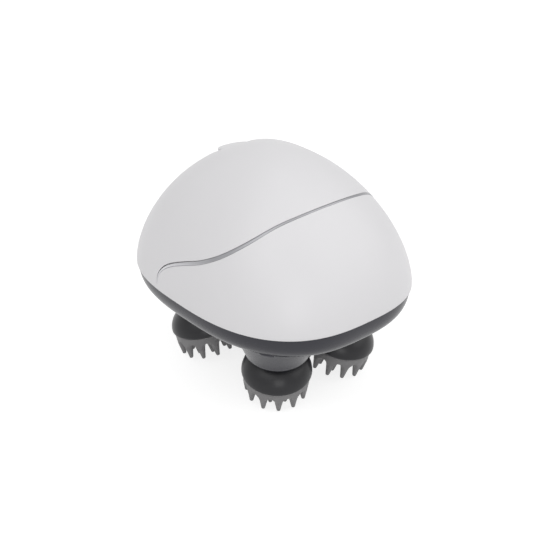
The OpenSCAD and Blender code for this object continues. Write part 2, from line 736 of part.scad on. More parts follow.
module idler_gear() color(acetal) rotate([0, 0, idler_dir]) translate([idler_dist, 0, 0])
    difference() {
        union() {
            translate([0, 0, sun_top + face_gap]) rotate([0, 0, idler_turn])
                spur_gear(slow_m, idler_small_teeth, idler_z - sun_top - face_gap + e);
            translate([0, 0, idler_z]) spur_gear(fast_m, idler_big_teeth, idler_w);
        }
        translate([0, 0, sun_top]) cylinder(r = idler_pin_r + run_fit, h = 20);
        for (turn = [0:60:300]) rotate([0, 0, turn + 30]) translate([8, 0, idler_z - 1])
            cylinder(r = 2, h = idler_w + 2);
    }

/* ---------- Motor ---------- */

motor_nose_r = 3;
motor_nose_h = 1.6;
module rotor_shaft() color(steel) translate([0, 0, idler_z])
    cylinder(r = rotor_r, h = bridge_top + motor_l - idler_z);
module motor_pinion() color(brass) rotate([0, 0, idler_dir + pinion_turn])
    translate([0, 0, idler_z]) difference() {
        spur_gear(fast_m, pinion_teeth, idler_w);
        translate([0, 0, -e]) cylinder(r = rotor_r, h = idler_w + 1);
    }
module motor_can() color(steel) difference() {
    union() {
        translate([0, 0, bridge_top]) cylinder(r = motor_r, h = motor_l);
        translate([0, 0, bridge_top - motor_nose_h]) cylinder(r = motor_nose_r, h = motor_nose_h + e);
    }
    translate([0, 0, bridge_top - 3]) cylinder(r = rotor_r + run_fit, h = motor_l + 4);
    for (sx = [-1, 1]) translate([sx * motor_screw_x, 0, bridge_top - 1])
        cylinder(r = motor_screw_r + 0.05, h = 4);
    for (turn = [45, 225]) rotate([0, 0, turn])
        translate([motor_r - 1.4, -4, bridge_top + motor_l - 4]) cube([3, 8, 3]);
}
module motor_end_cap() color(rubber_black) difference() {
    translate([0, 0, bridge_top + motor_l]) {
        cylinder(r = motor_r - 0.8, h = end_cap_h - 1);
        cylinder(r = 4, h = end_cap_h);
    }
    translate([0, 0, bridge_top + motor_l - e]) cylinder(r = rotor_r + 0.3, h = 1);
}
module motor_terminals() color(brass) for (sx = [-1, 1])
    translate([sx * 8 - 0.25, -1.4, bridge_top + motor_l + end_cap_h - 1]) difference() {
        cube([0.5, 2.8, 3.2]);
        translate([-1, 1.4, 2]) rotate([0, 90, 0]) cylinder(r = 0.6, h = 3, $fn = 24);
    }
module motor_screws() color(steel) for (sx = [-1, 1])
    translate([sx * motor_screw_x, 0, bridge_z + 1.3]) rotate([180, 0, 0])
        screw(motor_screw_r, bridge_t - 1.3 + 2.6, 1.8, 1.2);

/* ---------- Battery and boards ---------- */

cell_z = bridge_top + 1.8 + cell_r;
cradle_screw_x = 24;
saddle_t = 1.5;
saddle_y = 18;
module battery_cradle() color(chassis_grey) difference() {
    union() {
        translate([cell_x - 6, -saddle_y - 3, bridge_top]) cube([10.4, 2 * saddle_y + 6, 1.5]);
        for (sy = [-1, 1]) translate([cell_x, sy * saddle_y + 3, cell_z]) rotate([90, 0, 0])
            cylinder(r = cell_r + still_fit + saddle_t, h = 6);
    }
    translate([cell_x, cell_l, cell_z]) rotate([90, 0, 0])
        cylinder(r = cell_r + still_fit, h = 2 * cell_l);
    translate([cell_x - 20, -cell_l, cell_z + cell_r * 0.35]) cube([40, 2 * cell_l, 2 * cell_r]);
    translate([0, 0, bridge_top - 20]) cube([80, 80, 40], center = true);
    for (sy = [-1, 1]) translate([cradle_screw_x, sy * 3.5, bridge_top - 1])
        cylinder(r = 1, h = 4);
}
module battery_cell() color([0.25, 0.45, 0.75]) translate([cell_x, cell_l / 2, cell_z])
    rotate([90, 0, 0]) {
        cylinder(r = cell_r, h = cell_l - 1);
        translate([0, 0, cell_l - 1 - e]) cylinder(r = 3, h = 1 + e);
    }
main_board_z = bridge_top + 0.6;
module main_board() color(board_green)
    translate([rail_x - board_t / 2, -main_board_l / 2, main_board_z])
        difference() {
            cube([board_t, main_board_l, main_board_h]);
            for (y = [3, main_board_l - 3]) translate([-1, y, main_board_h - 3])
                rotate([0, 90, 0]) cylinder(r = 1.2, h = 4, $fn = 24);
        }
// Parts on the main board: how far each stands off it, its length and its height
control_chip = [1.6, 10, 10];
driver_chip = [1.2, 6, 5];
coil = [3, 7, 7];
lead_plug = [5, 6, 5];
capacitor_r = 2;
capacitor_h = 5;
capacitor_up = 18;
parts_low = 8;
module board_parts() color(rubber_black)
    translate([rail_x - board_t / 2, 0, main_board_z]) {
        translate([-control_chip[0], -5, parts_low]) cube(control_chip);
        translate([-driver_chip[0], 12, parts_low]) cube(driver_chip);
        translate([-coil[0], -20, parts_low]) cube(coil);
        for (y = [-15, 17]) translate([0, y, capacitor_up]) rotate([0, -90, 0])
            cylinder(r = capacitor_r, h = capacitor_h);
        translate([-lead_plug[0], 19, parts_low]) cube(lead_plug);
    }

/* ---------- Heads ---------- */

module shaft_bushes() color(acetal) for (i = [0:3]) on_head(i) difference() {
    union() {
        translate([0, 0, tube_low + 3]) cylinder(r = tube_bore_r, h = 4);
        translate([0, 0, tube_top - 5]) cylinder(r = tube_bore_r, h = 5 + e);
        translate([0, 0, tube_top]) cylinder(r = tube_bore_r + 1.2, h = 0.8);
    }
    translate([0, 0, tube_low]) cylinder(r = shaft_r + run_fit, h = 30);
}
module shaft_seals() color(rubber_black) for (i = [0:3]) on_head(i) translate([0, 0, tube_low + 0.2])
    ring(tube_bore_r - 0.02, shaft_r + run_fit, 2.6);
function head_gear_turn(i) = 180 + head_dir(i) * sun_teeth / head_teeth - 180 / head_teeth;
flat_cut = 0.5;
module head_gear(i) color(acetal) on_head(i, head_gear_turn(i)) difference() {
    union() {
        translate([0, 0, head_gear_top]) bevel_gear(head_teeth, head_cone);
        translate([0, 0, head_gear_top - e]) cylinder(r = 5, h = 1.4);
    }
    translate([0, 0, head_gear_low - 1]) cylinder(r = shaft_r, h = bevel_face + 4);
}
hub_top = skirt_up + 2.2;
hub_neck_r = 4.8;
shaft_low = pad_h + 4.4;
module head_shaft(i) color(steel) on_head(i, head_stop[i]) difference() {
    translate([0, 0, shaft_low]) cylinder(r = shaft_r, h = head_gear_top + 2.2 - shaft_low);
    translate([shaft_r - flat_cut, -shaft_r, shaft_low - 1]) cube([2, 2 * shaft_r, hub_top - shaft_low + 0.5]);
    translate([0, 0, shaft_low - 1]) cylinder(r = 0.95, h = 8);
}
bell_wide_up = 2.4;
bell_steps = 8;
function bell_curve(inset) = [for (k = [0:bell_steps]) let(a = k * 74 / bell_steps)
    [(bell_r - inset) * pow(cos(a), 0.92),
     pad_h + bell_wide_up + (bell_h - bell_wide_up - inset) * pow(sin(a), 1.06)]];
module bell_shape() {
    outer = bell_curve(0);
    inner = bell_curve(bell_wall);
    boss_low = shaft_low - 1.6;
    last_in = inner[bell_steps];
    polygon(concat([[bell_low_r, pad_h]], outer,
        [[hub_neck_r, pad_h + bell_h], [hub_neck_r, hub_top], [0, hub_top], [0, boss_low],
         [hub_neck_r, boss_low]],
        [for (k = [bell_steps - 1:-1:0]) inner[k]],
        [[bell_low_r - bell_wall, pad_h]]));
}
module head_hub(i) color(bell_black) on_head(i, head_stop[i]) difference() {
    rotate_extrude($fn = 96) bell_shape();
    difference() {
        translate([0, 0, shaft_low]) cylinder(r = shaft_r + 0.02, h = 40);
        translate([shaft_r - flat_cut + 0.02, -5, shaft_low - 1]) cube([5, 10, hub_top - shaft_low - 0.5]);
    }
    translate([0, 0, shaft_low - 3]) cylinder(r = 1.25, h = 6);
}
module head_screw(i) color(steel) on_head(i, head_stop[i]) translate([0, 0, shaft_low - 1.6])
    rotate([180, 0, 0]) screw(0.9, 7, 2.4, 1.2);
spigot_r = bell_low_r - bell_wall - 0.1;
// One finger: a cone with a bevelled tip, from its root on the pad to its tip
finger_top = pad_rim_low + 0.6;
module finger(root_at, tip_at) {
    lean = atan((tip_at - root_at) / pad_rim_low);
    translate([tip_at, 0, 0]) rotate([0, -lean, 0]) rotate_extrude()
        polygon([[0, 0], [finger_flat_r, 0], [finger_tip_r, finger_bevel],
            [finger_root_r, finger_top], [0, finger_top]]);
}
// The pad's disc and spigot, with a low wall that is arched between the outer fingers
web_t = 2.2;
arch_r = web_h + 0.3;
module pad_body() difference() {
    rotate_extrude() polygon([[0, pad_rim_low], [bell_low_r - web_t, pad_rim_low],
        [bell_low_r - web_t, pad_rim_low - web_h], [bell_low_r, pad_rim_low - web_h],
        [bell_low_r, pad_h], [spigot_r, pad_h], [spigot_r, pad_h + 1.4],
        [spigot_r - 1.9, pad_h + 1.4], [spigot_r - 1.9, pad_rim_low + pad_disc_t],
        [0, pad_rim_low + pad_disc_t]]);
    for (k = [0:outer_fingers - 1]) rotate([0, 0, (k + 0.5) * 360 / outer_fingers])
        translate([bell_low_r - web_t - 1, 0, pad_rim_low - web_h - 0.6]) rotate([0, 90, 0])
            cylinder(r = arch_r, h = web_t + 2);
}
module finger_pad(i) color(pad_grey) on_head(i, head_stop[i]) {
    pad_body();
    for (k = [0:outer_fingers - 1]) rotate([0, 0, k * 360 / outer_fingers])
        finger(root_ring_r, outer_ring_r);
    for (k = [0:inner_fingers - 1]) rotate([0, 0, (k + 0.5) * 360 / inner_fingers])
        finger(inner_ring_r, inner_ring_r);
    finger(0, 0);
}

/* ---------- Build ---------- */

upper_cover();
trim_strip();
lower_casing();
perimeter_seal();
casing_screws();
power_button();
button_board();
tact_switch();
switch_plunger();
button_screws();
gearbox_base();
gearbox_bridge();
gearbox_screws();
drive_axle();
drive_gear();
sun_bevel();
idler_pin();
idler_gear();
rotor_shaft();
motor_pinion();
motor_can();
motor_end_cap();
motor_terminals();
motor_screws();
battery_cradle();
battery_cell();
main_board();
board_parts();
charge_board();
charge_socket();
port_plug();
shaft_bushes();
shaft_seals();
head_gear(0);  // head_gear_fl
head_gear(1);  // head_gear_fr
head_gear(2);  // head_gear_rl
head_gear(3);  // head_gear_rr
head_shaft(0);  // head_shaft_fl
head_shaft(1);  // head_shaft_fr
head_shaft(2);  // head_shaft_rl
head_shaft(3);  // head_shaft_rr
head_hub(0);  // head_hub_fl
head_hub(1);  // head_hub_fr
head_hub(2);  // head_hub_rl
head_hub(3);  // head_hub_rr
finger_pad(0);  // finger_pad_fl
finger_pad(1);  // finger_pad_fr
finger_pad(2);  // finger_pad_rl
finger_pad(3);  // finger_pad_rr
head_screw(0);  // head_screw_fl
head_screw(1);  // head_screw_fr
head_screw(2);  // head_screw_rl
head_screw(3);  // head_screw_rr
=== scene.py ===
# %% [markdown]
# # Dressing an electric scalp massager
# The machine is already built to size: a white domed cover, a grey casing, four turning
# bells with soft finger pads, and a gear train inside. This lesson loads that model as a
# fixed frame and makes the surfaces that a hand and an eye meet: smooth shells, the silver
# strip, the round button, the skirts, the bells and the silicone fingers.
#
# Every length is in metres, and every piece is put where the frame says.

# %% Load the frame
import json
import math

import bmesh
import bpy
from mathutils import Matrix, Vector

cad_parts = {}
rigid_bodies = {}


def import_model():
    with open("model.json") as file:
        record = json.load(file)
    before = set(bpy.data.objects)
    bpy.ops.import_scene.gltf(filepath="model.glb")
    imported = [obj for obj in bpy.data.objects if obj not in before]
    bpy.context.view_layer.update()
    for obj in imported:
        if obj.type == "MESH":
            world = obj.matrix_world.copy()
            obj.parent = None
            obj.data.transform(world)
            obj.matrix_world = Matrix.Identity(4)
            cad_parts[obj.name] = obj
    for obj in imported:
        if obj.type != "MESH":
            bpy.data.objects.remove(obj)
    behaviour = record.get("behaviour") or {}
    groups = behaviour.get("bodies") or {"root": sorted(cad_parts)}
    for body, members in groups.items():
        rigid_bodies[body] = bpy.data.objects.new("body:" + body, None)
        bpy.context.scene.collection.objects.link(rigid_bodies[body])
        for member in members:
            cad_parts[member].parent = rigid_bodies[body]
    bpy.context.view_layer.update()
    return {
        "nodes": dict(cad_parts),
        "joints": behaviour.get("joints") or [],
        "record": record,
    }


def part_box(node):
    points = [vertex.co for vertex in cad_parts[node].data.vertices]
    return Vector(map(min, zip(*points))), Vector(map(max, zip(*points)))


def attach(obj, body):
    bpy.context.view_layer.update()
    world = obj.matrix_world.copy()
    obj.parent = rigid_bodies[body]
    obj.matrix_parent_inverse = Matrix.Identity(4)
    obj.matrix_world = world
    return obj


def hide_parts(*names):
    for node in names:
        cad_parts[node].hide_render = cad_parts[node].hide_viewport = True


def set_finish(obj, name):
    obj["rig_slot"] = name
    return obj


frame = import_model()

MM = 0.001
nodes = frame["nodes"]

# %% [markdown]
# The body's shape rests on three measures of the frame: its width and length across the
# rim, the height of the rim, and the height of the dome. The outline is a superellipse,
# a rounded oblong that is fuller at its corners than an ellipse. The same curve, used
# upright, gives the dome its full sides and soft crown.

# %% Measures of the body
cover_low, cover_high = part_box("upper_cover")
body_w = cover_high.x - cover_low.x
body_l = cover_high.y - cover_low.y
rim_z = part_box("perimeter_seal")[1].z
dome_h = cover_high.z - rim_z

RIM_SQUARENESS = 2.67
TOP_SQUARENESS = 2.42
SQUARENESS_FADE = 1.5
SIDE_FULLNESS = 1.89
CROWN_FULLNESS = 1.63
COVER_WALL = 2.2 * MM
print("body in mm:", round(body_w / MM, 1), round(body_l / MM, 1), "dome", round(dome_h / MM, 1))

# %% [markdown]
# The camera comes first, because every later choice is judged through it. It stands half
# a metre away, to the left of the front and a little above, with a portrait lens. The
# small shift centres the object in the frame.

# %% Camera
CAMERA_TURN = math.radians(-40.31)
CAMERA_RISE = math.radians(28.31)
CAMERA_DISTANCE = 0.5
SENSOR_MM = 36
LENS_MM = 68.73
SHIFT_X = 0.0064
SHIFT_Y = -0.0161


def way_to(turn, rise):
    """Direction to something that stands a turn round from the front and a rise up."""
    return Vector((math.sin(turn) * math.cos(rise), -math.cos(turn) * math.cos(rise),
                   math.sin(rise)))


def stand(obj, way, distance):
    """Puts a camera or a lamp out along a way, looking back at the object."""
    bpy.context.scene.collection.objects.link(obj)
    obj.location = aim + way * distance
    obj.rotation_euler = (-way).to_track_quat("-Z", "Y").to_euler()


aim = Vector((0, 0, rim_z))
camera_data = bpy.data.cameras.new("camera")
camera_data.lens = LENS_MM
camera_data.sensor_width = SENSOR_MM
camera_data.shift_x = SHIFT_X
camera_data.shift_y = SHIFT_Y
camera = bpy.data.objects.new("camera", camera_data)
stand(camera, way_to(CAMERA_TURN, CAMERA_RISE), CAMERA_DISTANCE)
bpy.context.scene.camera = camera
bpy.context.scene.view_settings.view_transform = "Standard"
print("camera at", [round(v, 3) for v in camera.location])

# %% [markdown]
# Finishes, floor and sky are all made of shader nodes. Three helpers keep that short: one
# adds a node with its settings, one does arithmetic, and one shows some kinds of ray a
# different shader from the rest.

# %% Shader tools
def add(tree, kind, links=None, **values):
    """A node with its settings; links joins sockets of other nodes to its inputs."""
    node = tree.nodes.new(kind)
    for key, value in values.items():
        if hasattr(node, key):
            setattr(node, key, value)
        else:
            node.inputs[key.replace("_", " ")].default_value = value
    for label, socket in (links or {}).items():
        tree.links.new(socket, node.inputs[label])
    return node


def maths(tree, operation, *terms, clamp=False):
    """One step of arithmetic; each term is a socket or a number."""
    node = add(tree, "ShaderNodeMath", operation=operation, use_clamp=clamp)
    for index, term in enumerate(terms):
        if isinstance(term, float):
            node.inputs[index].default_value = term
        else:
            tree.links.new(term, node.inputs[index])
    return node.outputs[0]


def split_by_ray(tree, kinds, named, others):
    """One shader for the named kinds of ray and another for the others."""
    path = add(tree, "ShaderNodeLightPath")
    is_named = path.outputs[f"Is {kinds[0]} Ray"]
    for kind in kinds[1:]:
        is_named = maths(tree, "MAXIMUM", is_named, path.outputs[f"Is {kind} Ray"])
    mix = add(tree, "ShaderNodeMixShader",
              {0: is_named, 1: others.outputs[0], 2: named.outputs[0]})
    return mix.outputs[0]


def grey(level):
    return (level, level, level, 1)


# %% [markdown]
# The set is a plain white sweep. A floor that only reflects light looks grey beside a
# white object, so the camera sees part reflected light and part plain white.
# The object's shadow still falls on it, and the light that the floor throws back up on
# the object stays that of a plain pale floor.

# %% Floor, sky and lamps
FLOOR_SIZE = 8
FLOOR_BELOW = 0.2 * MM
FLOOR_PLAIN = 0.8
FLOOR_REFLECTED = 0.4
FLOOR_WHITE = 0.8
SKY_LIGHT = 0.61
# Turn and rise in degrees, distance and size in metres, and power in watts.
LAMPS = {"key_box": (-80, 48, 0.9, 0.7, 1.3), "front_box": (-33, 12, 1.0, 0.4, 1.2),
         "fill_box": (40, 38, 1.0, 0.8, 1.9), "top_box": (10, 85, 0.9, 0.8, 0.9)}


def sweep_material():
    material = bpy.data.materials.new("sweep_white")
    material.use_nodes = True
    tree = material.node_tree
    tree.nodes.clear()
    plain = add(tree, "ShaderNodeBsdfDiffuse", Color=grey(FLOOR_PLAIN))
    reflected = add(tree, "ShaderNodeBsdfDiffuse", Color=grey(FLOOR_REFLECTED))
    white = add(tree, "ShaderNodeEmission", Strength=FLOOR_WHITE)
    shown = add(tree, "ShaderNodeAddShader", {0: reflected.outputs[0], 1: white.outputs[0]})
    surface = split_by_ray(tree, ("Camera", "Glossy"), shown, plain)
    add(tree, "ShaderNodeOutputMaterial", {"Surface": surface})
    return material


def set_world():
    """A white sky to look at, which lights the object less than it shows."""
    world = bpy.data.worlds.new("sky")
    world.use_nodes = True
    tree = world.node_tree
    tree.nodes.clear()
    shown = add(tree, "ShaderNodeBackground", Color=grey(1.0), Strength=1.0)
    light = add(tree, "ShaderNodeBackground", Color=grey(1.0), Strength=SKY_LIGHT)
    surface = split_by_ray(tree, ("Camera", "Transmission", "Glossy"), shown, light)
    add(tree, "ShaderNodeOutputWorld", {"Surface": surface})
    bpy.context.scene.world = world


def area_lamp(name, turn, rise, distance, size, watts):
    """A square soft box that looks at the object."""
    data = bpy.data.lights.new(name, "AREA")
    data.shape = "SQUARE"
    data.size = size
    data.energy = watts
    lamp = bpy.data.objects.new(name, data)
    stand(lamp, way_to(math.radians(turn), math.radians(rise)), distance)


bpy.ops.mesh.primitive_plane_add(size=FLOOR_SIZE, location=(0, 0, -FLOOR_BELOW))
floor = bpy.context.object
floor.name = "floor"
floor.data.materials.append(sweep_material())
set_world()
for lamp_name, lamp_settings in LAMPS.items():
    area_lamp(lamp_name, *lamp_settings)
print("stage set")

# %% [markdown]
# Two kinds of helper follow. The first chooses one object and applies a modifier or its
# placement to it, so that every finished piece lies at the origin, unturned. The second
# grows a skin ring by ring: an edge loop is extruded in edit mode, and the new loop is
# moved onto the next section of the form.

# %% Editing tools
WELD_GAP = 0.01 * MM


def choose(obj):
    bpy.ops.object.select_all(action="DESELECT")
    obj.select_set(True)
    bpy.context.view_layer.objects.active = obj


def settle(obj):
    """Puts an object's placement into its vertices."""
    choose(obj)
    bpy.ops.object.transform_apply(location=True, rotation=True, scale=True)


def place(obj, matrix):
    obj.matrix_world = matrix
    settle(obj)


def apply_modifier(obj, kind, **settings):
    choose(obj)
    modifier = obj.modifiers.new(kind.lower(), kind)
    for key, value in settings.items():
        setattr(modifier, key, value)
    bpy.ops.object.modifier_apply(modifier=modifier.name)


def cut(obj, cutter, operation="DIFFERENCE"):
    """A boolean with a cutter, which is used up."""
    apply_modifier(obj, "BOOLEAN", operation=operation, object=cutter, solver="EXACT")
    bpy.data.objects.remove(cutter, do_unlink=True)


def smooth(obj, degrees):
    choose(obj)
    bpy.ops.object.shade_smooth_by_angle(angle=math.radians(degrees))


def tidy_normals(obj):
    """Welds points that coincide and turns every face outwards."""
    choose(obj)
    bpy.ops.object.mode_set(mode="EDIT")
    bpy.ops.mesh.select_all(action="SELECT")
    bpy.ops.mesh.remove_doubles(threshold=WELD_GAP)
    bpy.ops.mesh.normals_make_consistent(inside=False)
    bpy.ops.object.mode_set(mode="OBJECT")


def grow(name, rings, close_first=False, close_last=False):
    """A skin through rings, each a list of points of one length."""
    count = len(rings[0])
    bpy.ops.mesh.primitive_circle_add(vertices=count, radius=1)
    obj = bpy.context.object
    obj.name = name
    obj.data.name = name
    for vertex, point in zip(obj.data.vertices, rings[0]):
        vertex.co = point
    bpy.ops.object.mode_set(mode="EDIT")
    bpy.ops.mesh.select_mode(type="EDGE")
    bpy.ops.mesh.select_all(action="SELECT")
    if close_first:
        bpy.ops.mesh.edge_face_add()
        bpy.ops.mesh.select_all(action="SELECT")
        mesh = bmesh.from_edit_mesh(obj.data)
        for face in mesh.faces:
            face.select_set(False)
        for edge in mesh.edges:
            edge.select_set(True)
        bmesh.update_edit_mesh(obj.data)
    for ring in rings[1:]:
        bpy.ops.mesh.extrude_edges_move(TRANSFORM_OT_translate={"value": (0, 0, 0)})
        mesh = bmesh.from_edit_mesh(obj.data)
        mesh.verts.ensure_lookup_table()
        newest = mesh.verts[len(mesh.verts) - count:]
        for vertex, point in zip(newest, ring):
            vertex.co = point
        bmesh.update_edit_mesh(obj.data)
    if close_last:
        bpy.ops.mesh.edge_face_add()
    bpy.ops.object.mode_set(mode="OBJECT")
    tidy_normals(obj)
    return obj


def turns(count):
    """Angles of a full turn in equal steps."""
    return [2 * math.pi * k / count for k in range(count)]


def circle(radius, height, count, middle=0.0):
    """Points of a level circle whose middle lies on the X axis."""
    return [(middle + radius * math.cos(a), radius * math.sin(a), height) for a in turns(count)]


def turned(name, profile, segments):
    """A turned solid round local Z, from a profile of radius and height, centre to centre."""
    rings = [circle(radius, height, segments) for radius, height in profile[1:-1]]
    return grow(name, rings, close_first=True, close_last=True)


def sheet_through(name, rows):
    """A sheet of quads through rows of points."""
    bpy.ops.mesh.primitive_grid_add(x_subdivisions=len(rows[0]) - 1,
                                    y_subdivisions=len(rows) - 1, size=1)
    obj = bpy.context.object
    obj.name = name
    obj.data.name = name
    points = [point for row in rows for point in row]
    for vertex, point in zip(obj.data.vertices, points):
        vertex.co = point
    return obj


def finish_piece(obj, body, slot_name, *covered):
    """Names the body that carries a piece, its finish and the CAD nodes it stands for."""
    obj.data.name = obj.name
    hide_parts(*covered)
    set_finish(obj, slot_name)
    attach(obj, body)
    triangles = sum(len(face.vertices) - 2 for face in obj.data.polygons)
    print(f"{obj.name}: {triangles} triangles, rides on {body}")


# %% [markdown]
# The dome is one formula. Going up it by a share t, the outline shrinks along one curve
# and the height grows along another. Points on the skin are found either by height and
# angle, or by looking outwards along a line until the skin is met.

# %% Form of the dome
HALF_W = body_w / 2
HALF_L = body_l / 2
TINY_SHARE = 1e-5
SKIN_HALVINGS = 40


def squareness_at(up):
    fade = max(up, 0) ** SQUARENESS_FADE
    return RIM_SQUARENESS * (1 - fade) + TOP_SQUARENESS * fade


def outline_radius(angle, half_w, half_l, squareness):
    across = abs(math.cos(angle)) / half_w
    along = abs(math.sin(angle)) / half_l
    return (across ** squareness + along ** squareness) ** (-1 / squareness)


def dome_point(t, angle, inset=0.0):
    """A point a share t of the way up the skin, or up a smaller dome inside it."""
    height = dome_h - inset
    share = math.cos(t * math.pi / 2) ** (2 / SIDE_FULLNESS)
    up = math.sin(t * math.pi / 2) ** (2 / CROWN_FULLNESS)
    if share < TINY_SHARE:
        return Vector((0, 0, rim_z + height * up))
    radius = outline_radius(angle, (HALF_W - inset) * share, (HALF_L - inset) * share,
                            squareness_at(up))
    return Vector((radius * math.cos(angle), radius * math.sin(angle), rim_z + height * up))


def share_at(z):
    """Share of the rim's size that the outline keeps at a height, and the share of height."""
    up = min(max((z - rim_z) / dome_h, 0), 1)
    sine = up ** (CROWN_FULLNESS / 2)
    return max(1 - sine * sine, 0) ** (1 / SIDE_FULLNESS), up


def dome_level(point):
    """1 on the dome's skin, less inside it and more outside it."""
    share, up = share_at(point.z)
    share = max(share, TINY_SHARE)
    squareness = squareness_at(up)
    return ((abs(point.x) / (HALF_W * share)) ** squareness
            + (abs(point.y) / (HALF_L * share)) ** squareness) ** (1 / squareness)


def meet_dome(start, way, reach=60 * MM):
    """Where a line from inside the dome meets its skin."""
    low, high = 0.0, reach
    for _ in range(SKIN_HALVINGS):
        middle = (low + high) / 2
        point = start + way * middle
        if point.z <= rim_z + dome_h and dome_level(point) < 1:
            low = middle
        else:
            high = middle
    return start + way * low


def crest_height(y):
    """Height of the dome over the rim along its middle."""
    return dome_h * (1 - (abs(y) / HALF_L) ** SIDE_FULLNESS) ** (1 / CROWN_FULLNESS)


# %% [markdown]
# The button sits behind the crown, square to the dome. Its frame has local Z pointing out
# of the dome. The skin is drawn in rings round the button, so that the shallow dish and the
# round hole come out clean, and the rings spread until they reach the rim.

# %% Cover skin
BUTTON_BACK = 28.0 * MM
BUTTON_R = 7.4 * MM
BUTTON_GAP = 0.3 * MM
DISH_R = 9.4 * MM
DISH_D = 2.8 * MM
DISH_DROP = 0.7 * MM
DISH_REACH = 1.5 * MM
DISH_SOFTNESS = 0.25 * MM
SLOPE_SPAN = 0.1 * MM
FOOT_DEPTH = 20 * MM
EDGE_ROUND = 0.22 * MM
SPOKES = 224
SKIN_RINGS = 66
# Rings round the button's hole, in mm out from its edge, closest where the dish ends.
RING_STEPS = [0, 0.08, 0.25, 0.5, 0.75, 1.0, 1.2, 1.4, 1.55, 1.7, 1.85, 2.05, 2.3, 2.7, 3.3,
              4.3, 5.5]

fall = crest_height(BUTTON_BACK - SLOPE_SPAN) - crest_height(BUTTON_BACK + SLOPE_SPAN)
slope = math.atan(fall / (2 * SLOPE_SPAN))
button_frame = (Matrix.Translation((0, BUTTON_BACK, rim_z + crest_height(BUTTON_BACK)))
                @ Matrix.Rotation(-slope, 4, "X"))
button_out = button_frame.to_3x3() @ Vector((0, 0, 1))
hole_r = BUTTON_R + BUTTON_GAP
dish_sag = DISH_D - DISH_DROP
dish_ball = (DISH_R ** 2 + dish_sag ** 2) / (2 * dish_sag)


def dish_height(radius):
    """Height of the dish in the button's frame: part of a ball pressed into the dome."""
    return dish_ball - math.sqrt(dish_ball ** 2 - radius ** 2) - DISH_D


def soft_lower(a, b, softness):
    """The lower of two heights, rounded where they cross."""
    mix = max(softness - abs(a - b), 0) / softness
    return min(a, b) - mix * mix * softness / 4


def skin_near_button(radius, angle):
    foot = button_frame @ Vector((radius * math.cos(angle), radius * math.sin(angle),
                                  -FOOT_DEPTH))
    met = meet_dome(foot, button_out)
    local = button_frame.inverted() @ met
    if radius < DISH_R + DISH_REACH:
        local.z = soft_lower(local.z, dish_height(radius), DISH_SOFTNESS)
    return button_frame @ local


def map_place(point):
    """A skin point on a flat map: a disc with the crown at its centre and the rim outside."""
    up = share_at(point.z)[1]
    t = math.asin(min(up ** (CROWN_FULLNESS / 2), 1)) / (math.pi / 2)
    angle = math.atan2(point.y, point.x)
    return Vector(((1 - t) * math.cos(angle), (1 - t) * math.sin(angle)))


spoke_angles = turns(SPOKES)
skin_rings = [[skin_near_button(hole_r + out * MM, angle) for angle in spoke_angles]
              for out in RING_STEPS]
edge_places = [map_place(point) for point in skin_rings[-1]]
for ring_number in range(1, SKIN_RINGS + 1):
    share = ring_number / SKIN_RINGS
    ring = []
    for edge_place, angle in zip(edge_places, spoke_angles):
        spot = edge_place.lerp(Vector((math.cos(angle), math.sin(angle))), share)
        ring.append(dome_point(max(1 - spot.length, 0), math.atan2(spot.y, spot.x)))
    skin_rings.append(ring)
cover = grow("cover_shell", skin_rings)
apply_modifier(cover, "SOLIDIFY", thickness=COVER_WALL, offset=-1, use_even_offset=True)
apply_modifier(cover, "BEVEL", width=EDGE_ROUND, segments=2, limit_method="ANGLE",
               angle_limit=math.radians(50), harden_normals=False)
print("cover skin:", len(cover.data.polygons), "faces")

# %% [markdown]
# The silver strip follows an S seen from the side: it starts low behind the widest part,
# sweeps forwards and climbs over the front of the dome to the other side. The same path
# gives the groove, with a hairline of shadow left along its upper edge.

# %% Path of the strip
STRIP_END_Y = 17.0
# Steps along Y from the strip's end, heights over the rim, half widths and upper gaps, in mm.
STRIP_SHAPE = [(0, 2.5, 0.22, 0.22), (-0.4, 7.5, 0.34, 0.38), (-3.5, 11.6, 0.48, 0.52),
               (-9, 15.2, 0.58, 0.5), (-17, 18.7, 0.72, 0.34), (-27, 22.7, 0.9, 0.12),
               (-37, 28.4, 0.92, 0.06), (-45.5, 35.5, 0.8, 0.06), (-51.5, 42.1, 0.62, 0.06),
               (-55.6, 45.8, 0.5, 0.06), (-63, 53, 0.45, 0.06)]
STRIP_STEPS = 10
LOWER_GAP_SHARE = 0.4
GROOVE_DEPTH = 1.5 * MM
BAND_REACH = 1.2 * HALF_W

path_points = [Vector(((STRIP_END_Y + dy) * MM, rim_z + dz * MM)) for dy, dz, *_ in STRIP_SHAPE]


def curve_at(points, k, t):
    """A smooth curve through the points, a share t past the point k."""
    last = len(points) - 1
    a, b = points[max(k - 1, 0)], points[k]
    c, d = points[min(k + 1, last)], points[min(k + 2, last)]
    return 0.5 * (2 * b + (c - a) * t + (2 * a - 5 * b + 4 * c - d) * t * t
                  + (3 * b - a - 3 * c + d) * t * t * t)


side_curve, side_half, side_gap = [], [], []
for k in range(len(path_points) - 1):
    here, after = STRIP_SHAPE[k], STRIP_SHAPE[k + 1]
    for j in range(STRIP_STEPS):
        t = j / STRIP_STEPS
        side_curve.append(curve_at(path_points, k, t))
        side_half.append((here[2] * (1 - t) + after[2] * t) * MM)
        side_gap.append((here[3] * (1 - t) + after[3] * t) * MM)


def shifted_curve(across, gaps=0.0):
    """The side view of the path, moved across by shares of its half width and of its gap."""
    moved = []
    for k in range(1, len(side_curve) - 1):
        way = (side_curve[k + 1] - side_curve[k - 1]).normalized()
        shift = across * side_half[k] + gaps * side_gap[k]
        moved.append(side_curve[k] + Vector((way.y, -way.x)) * shift)
    return moved


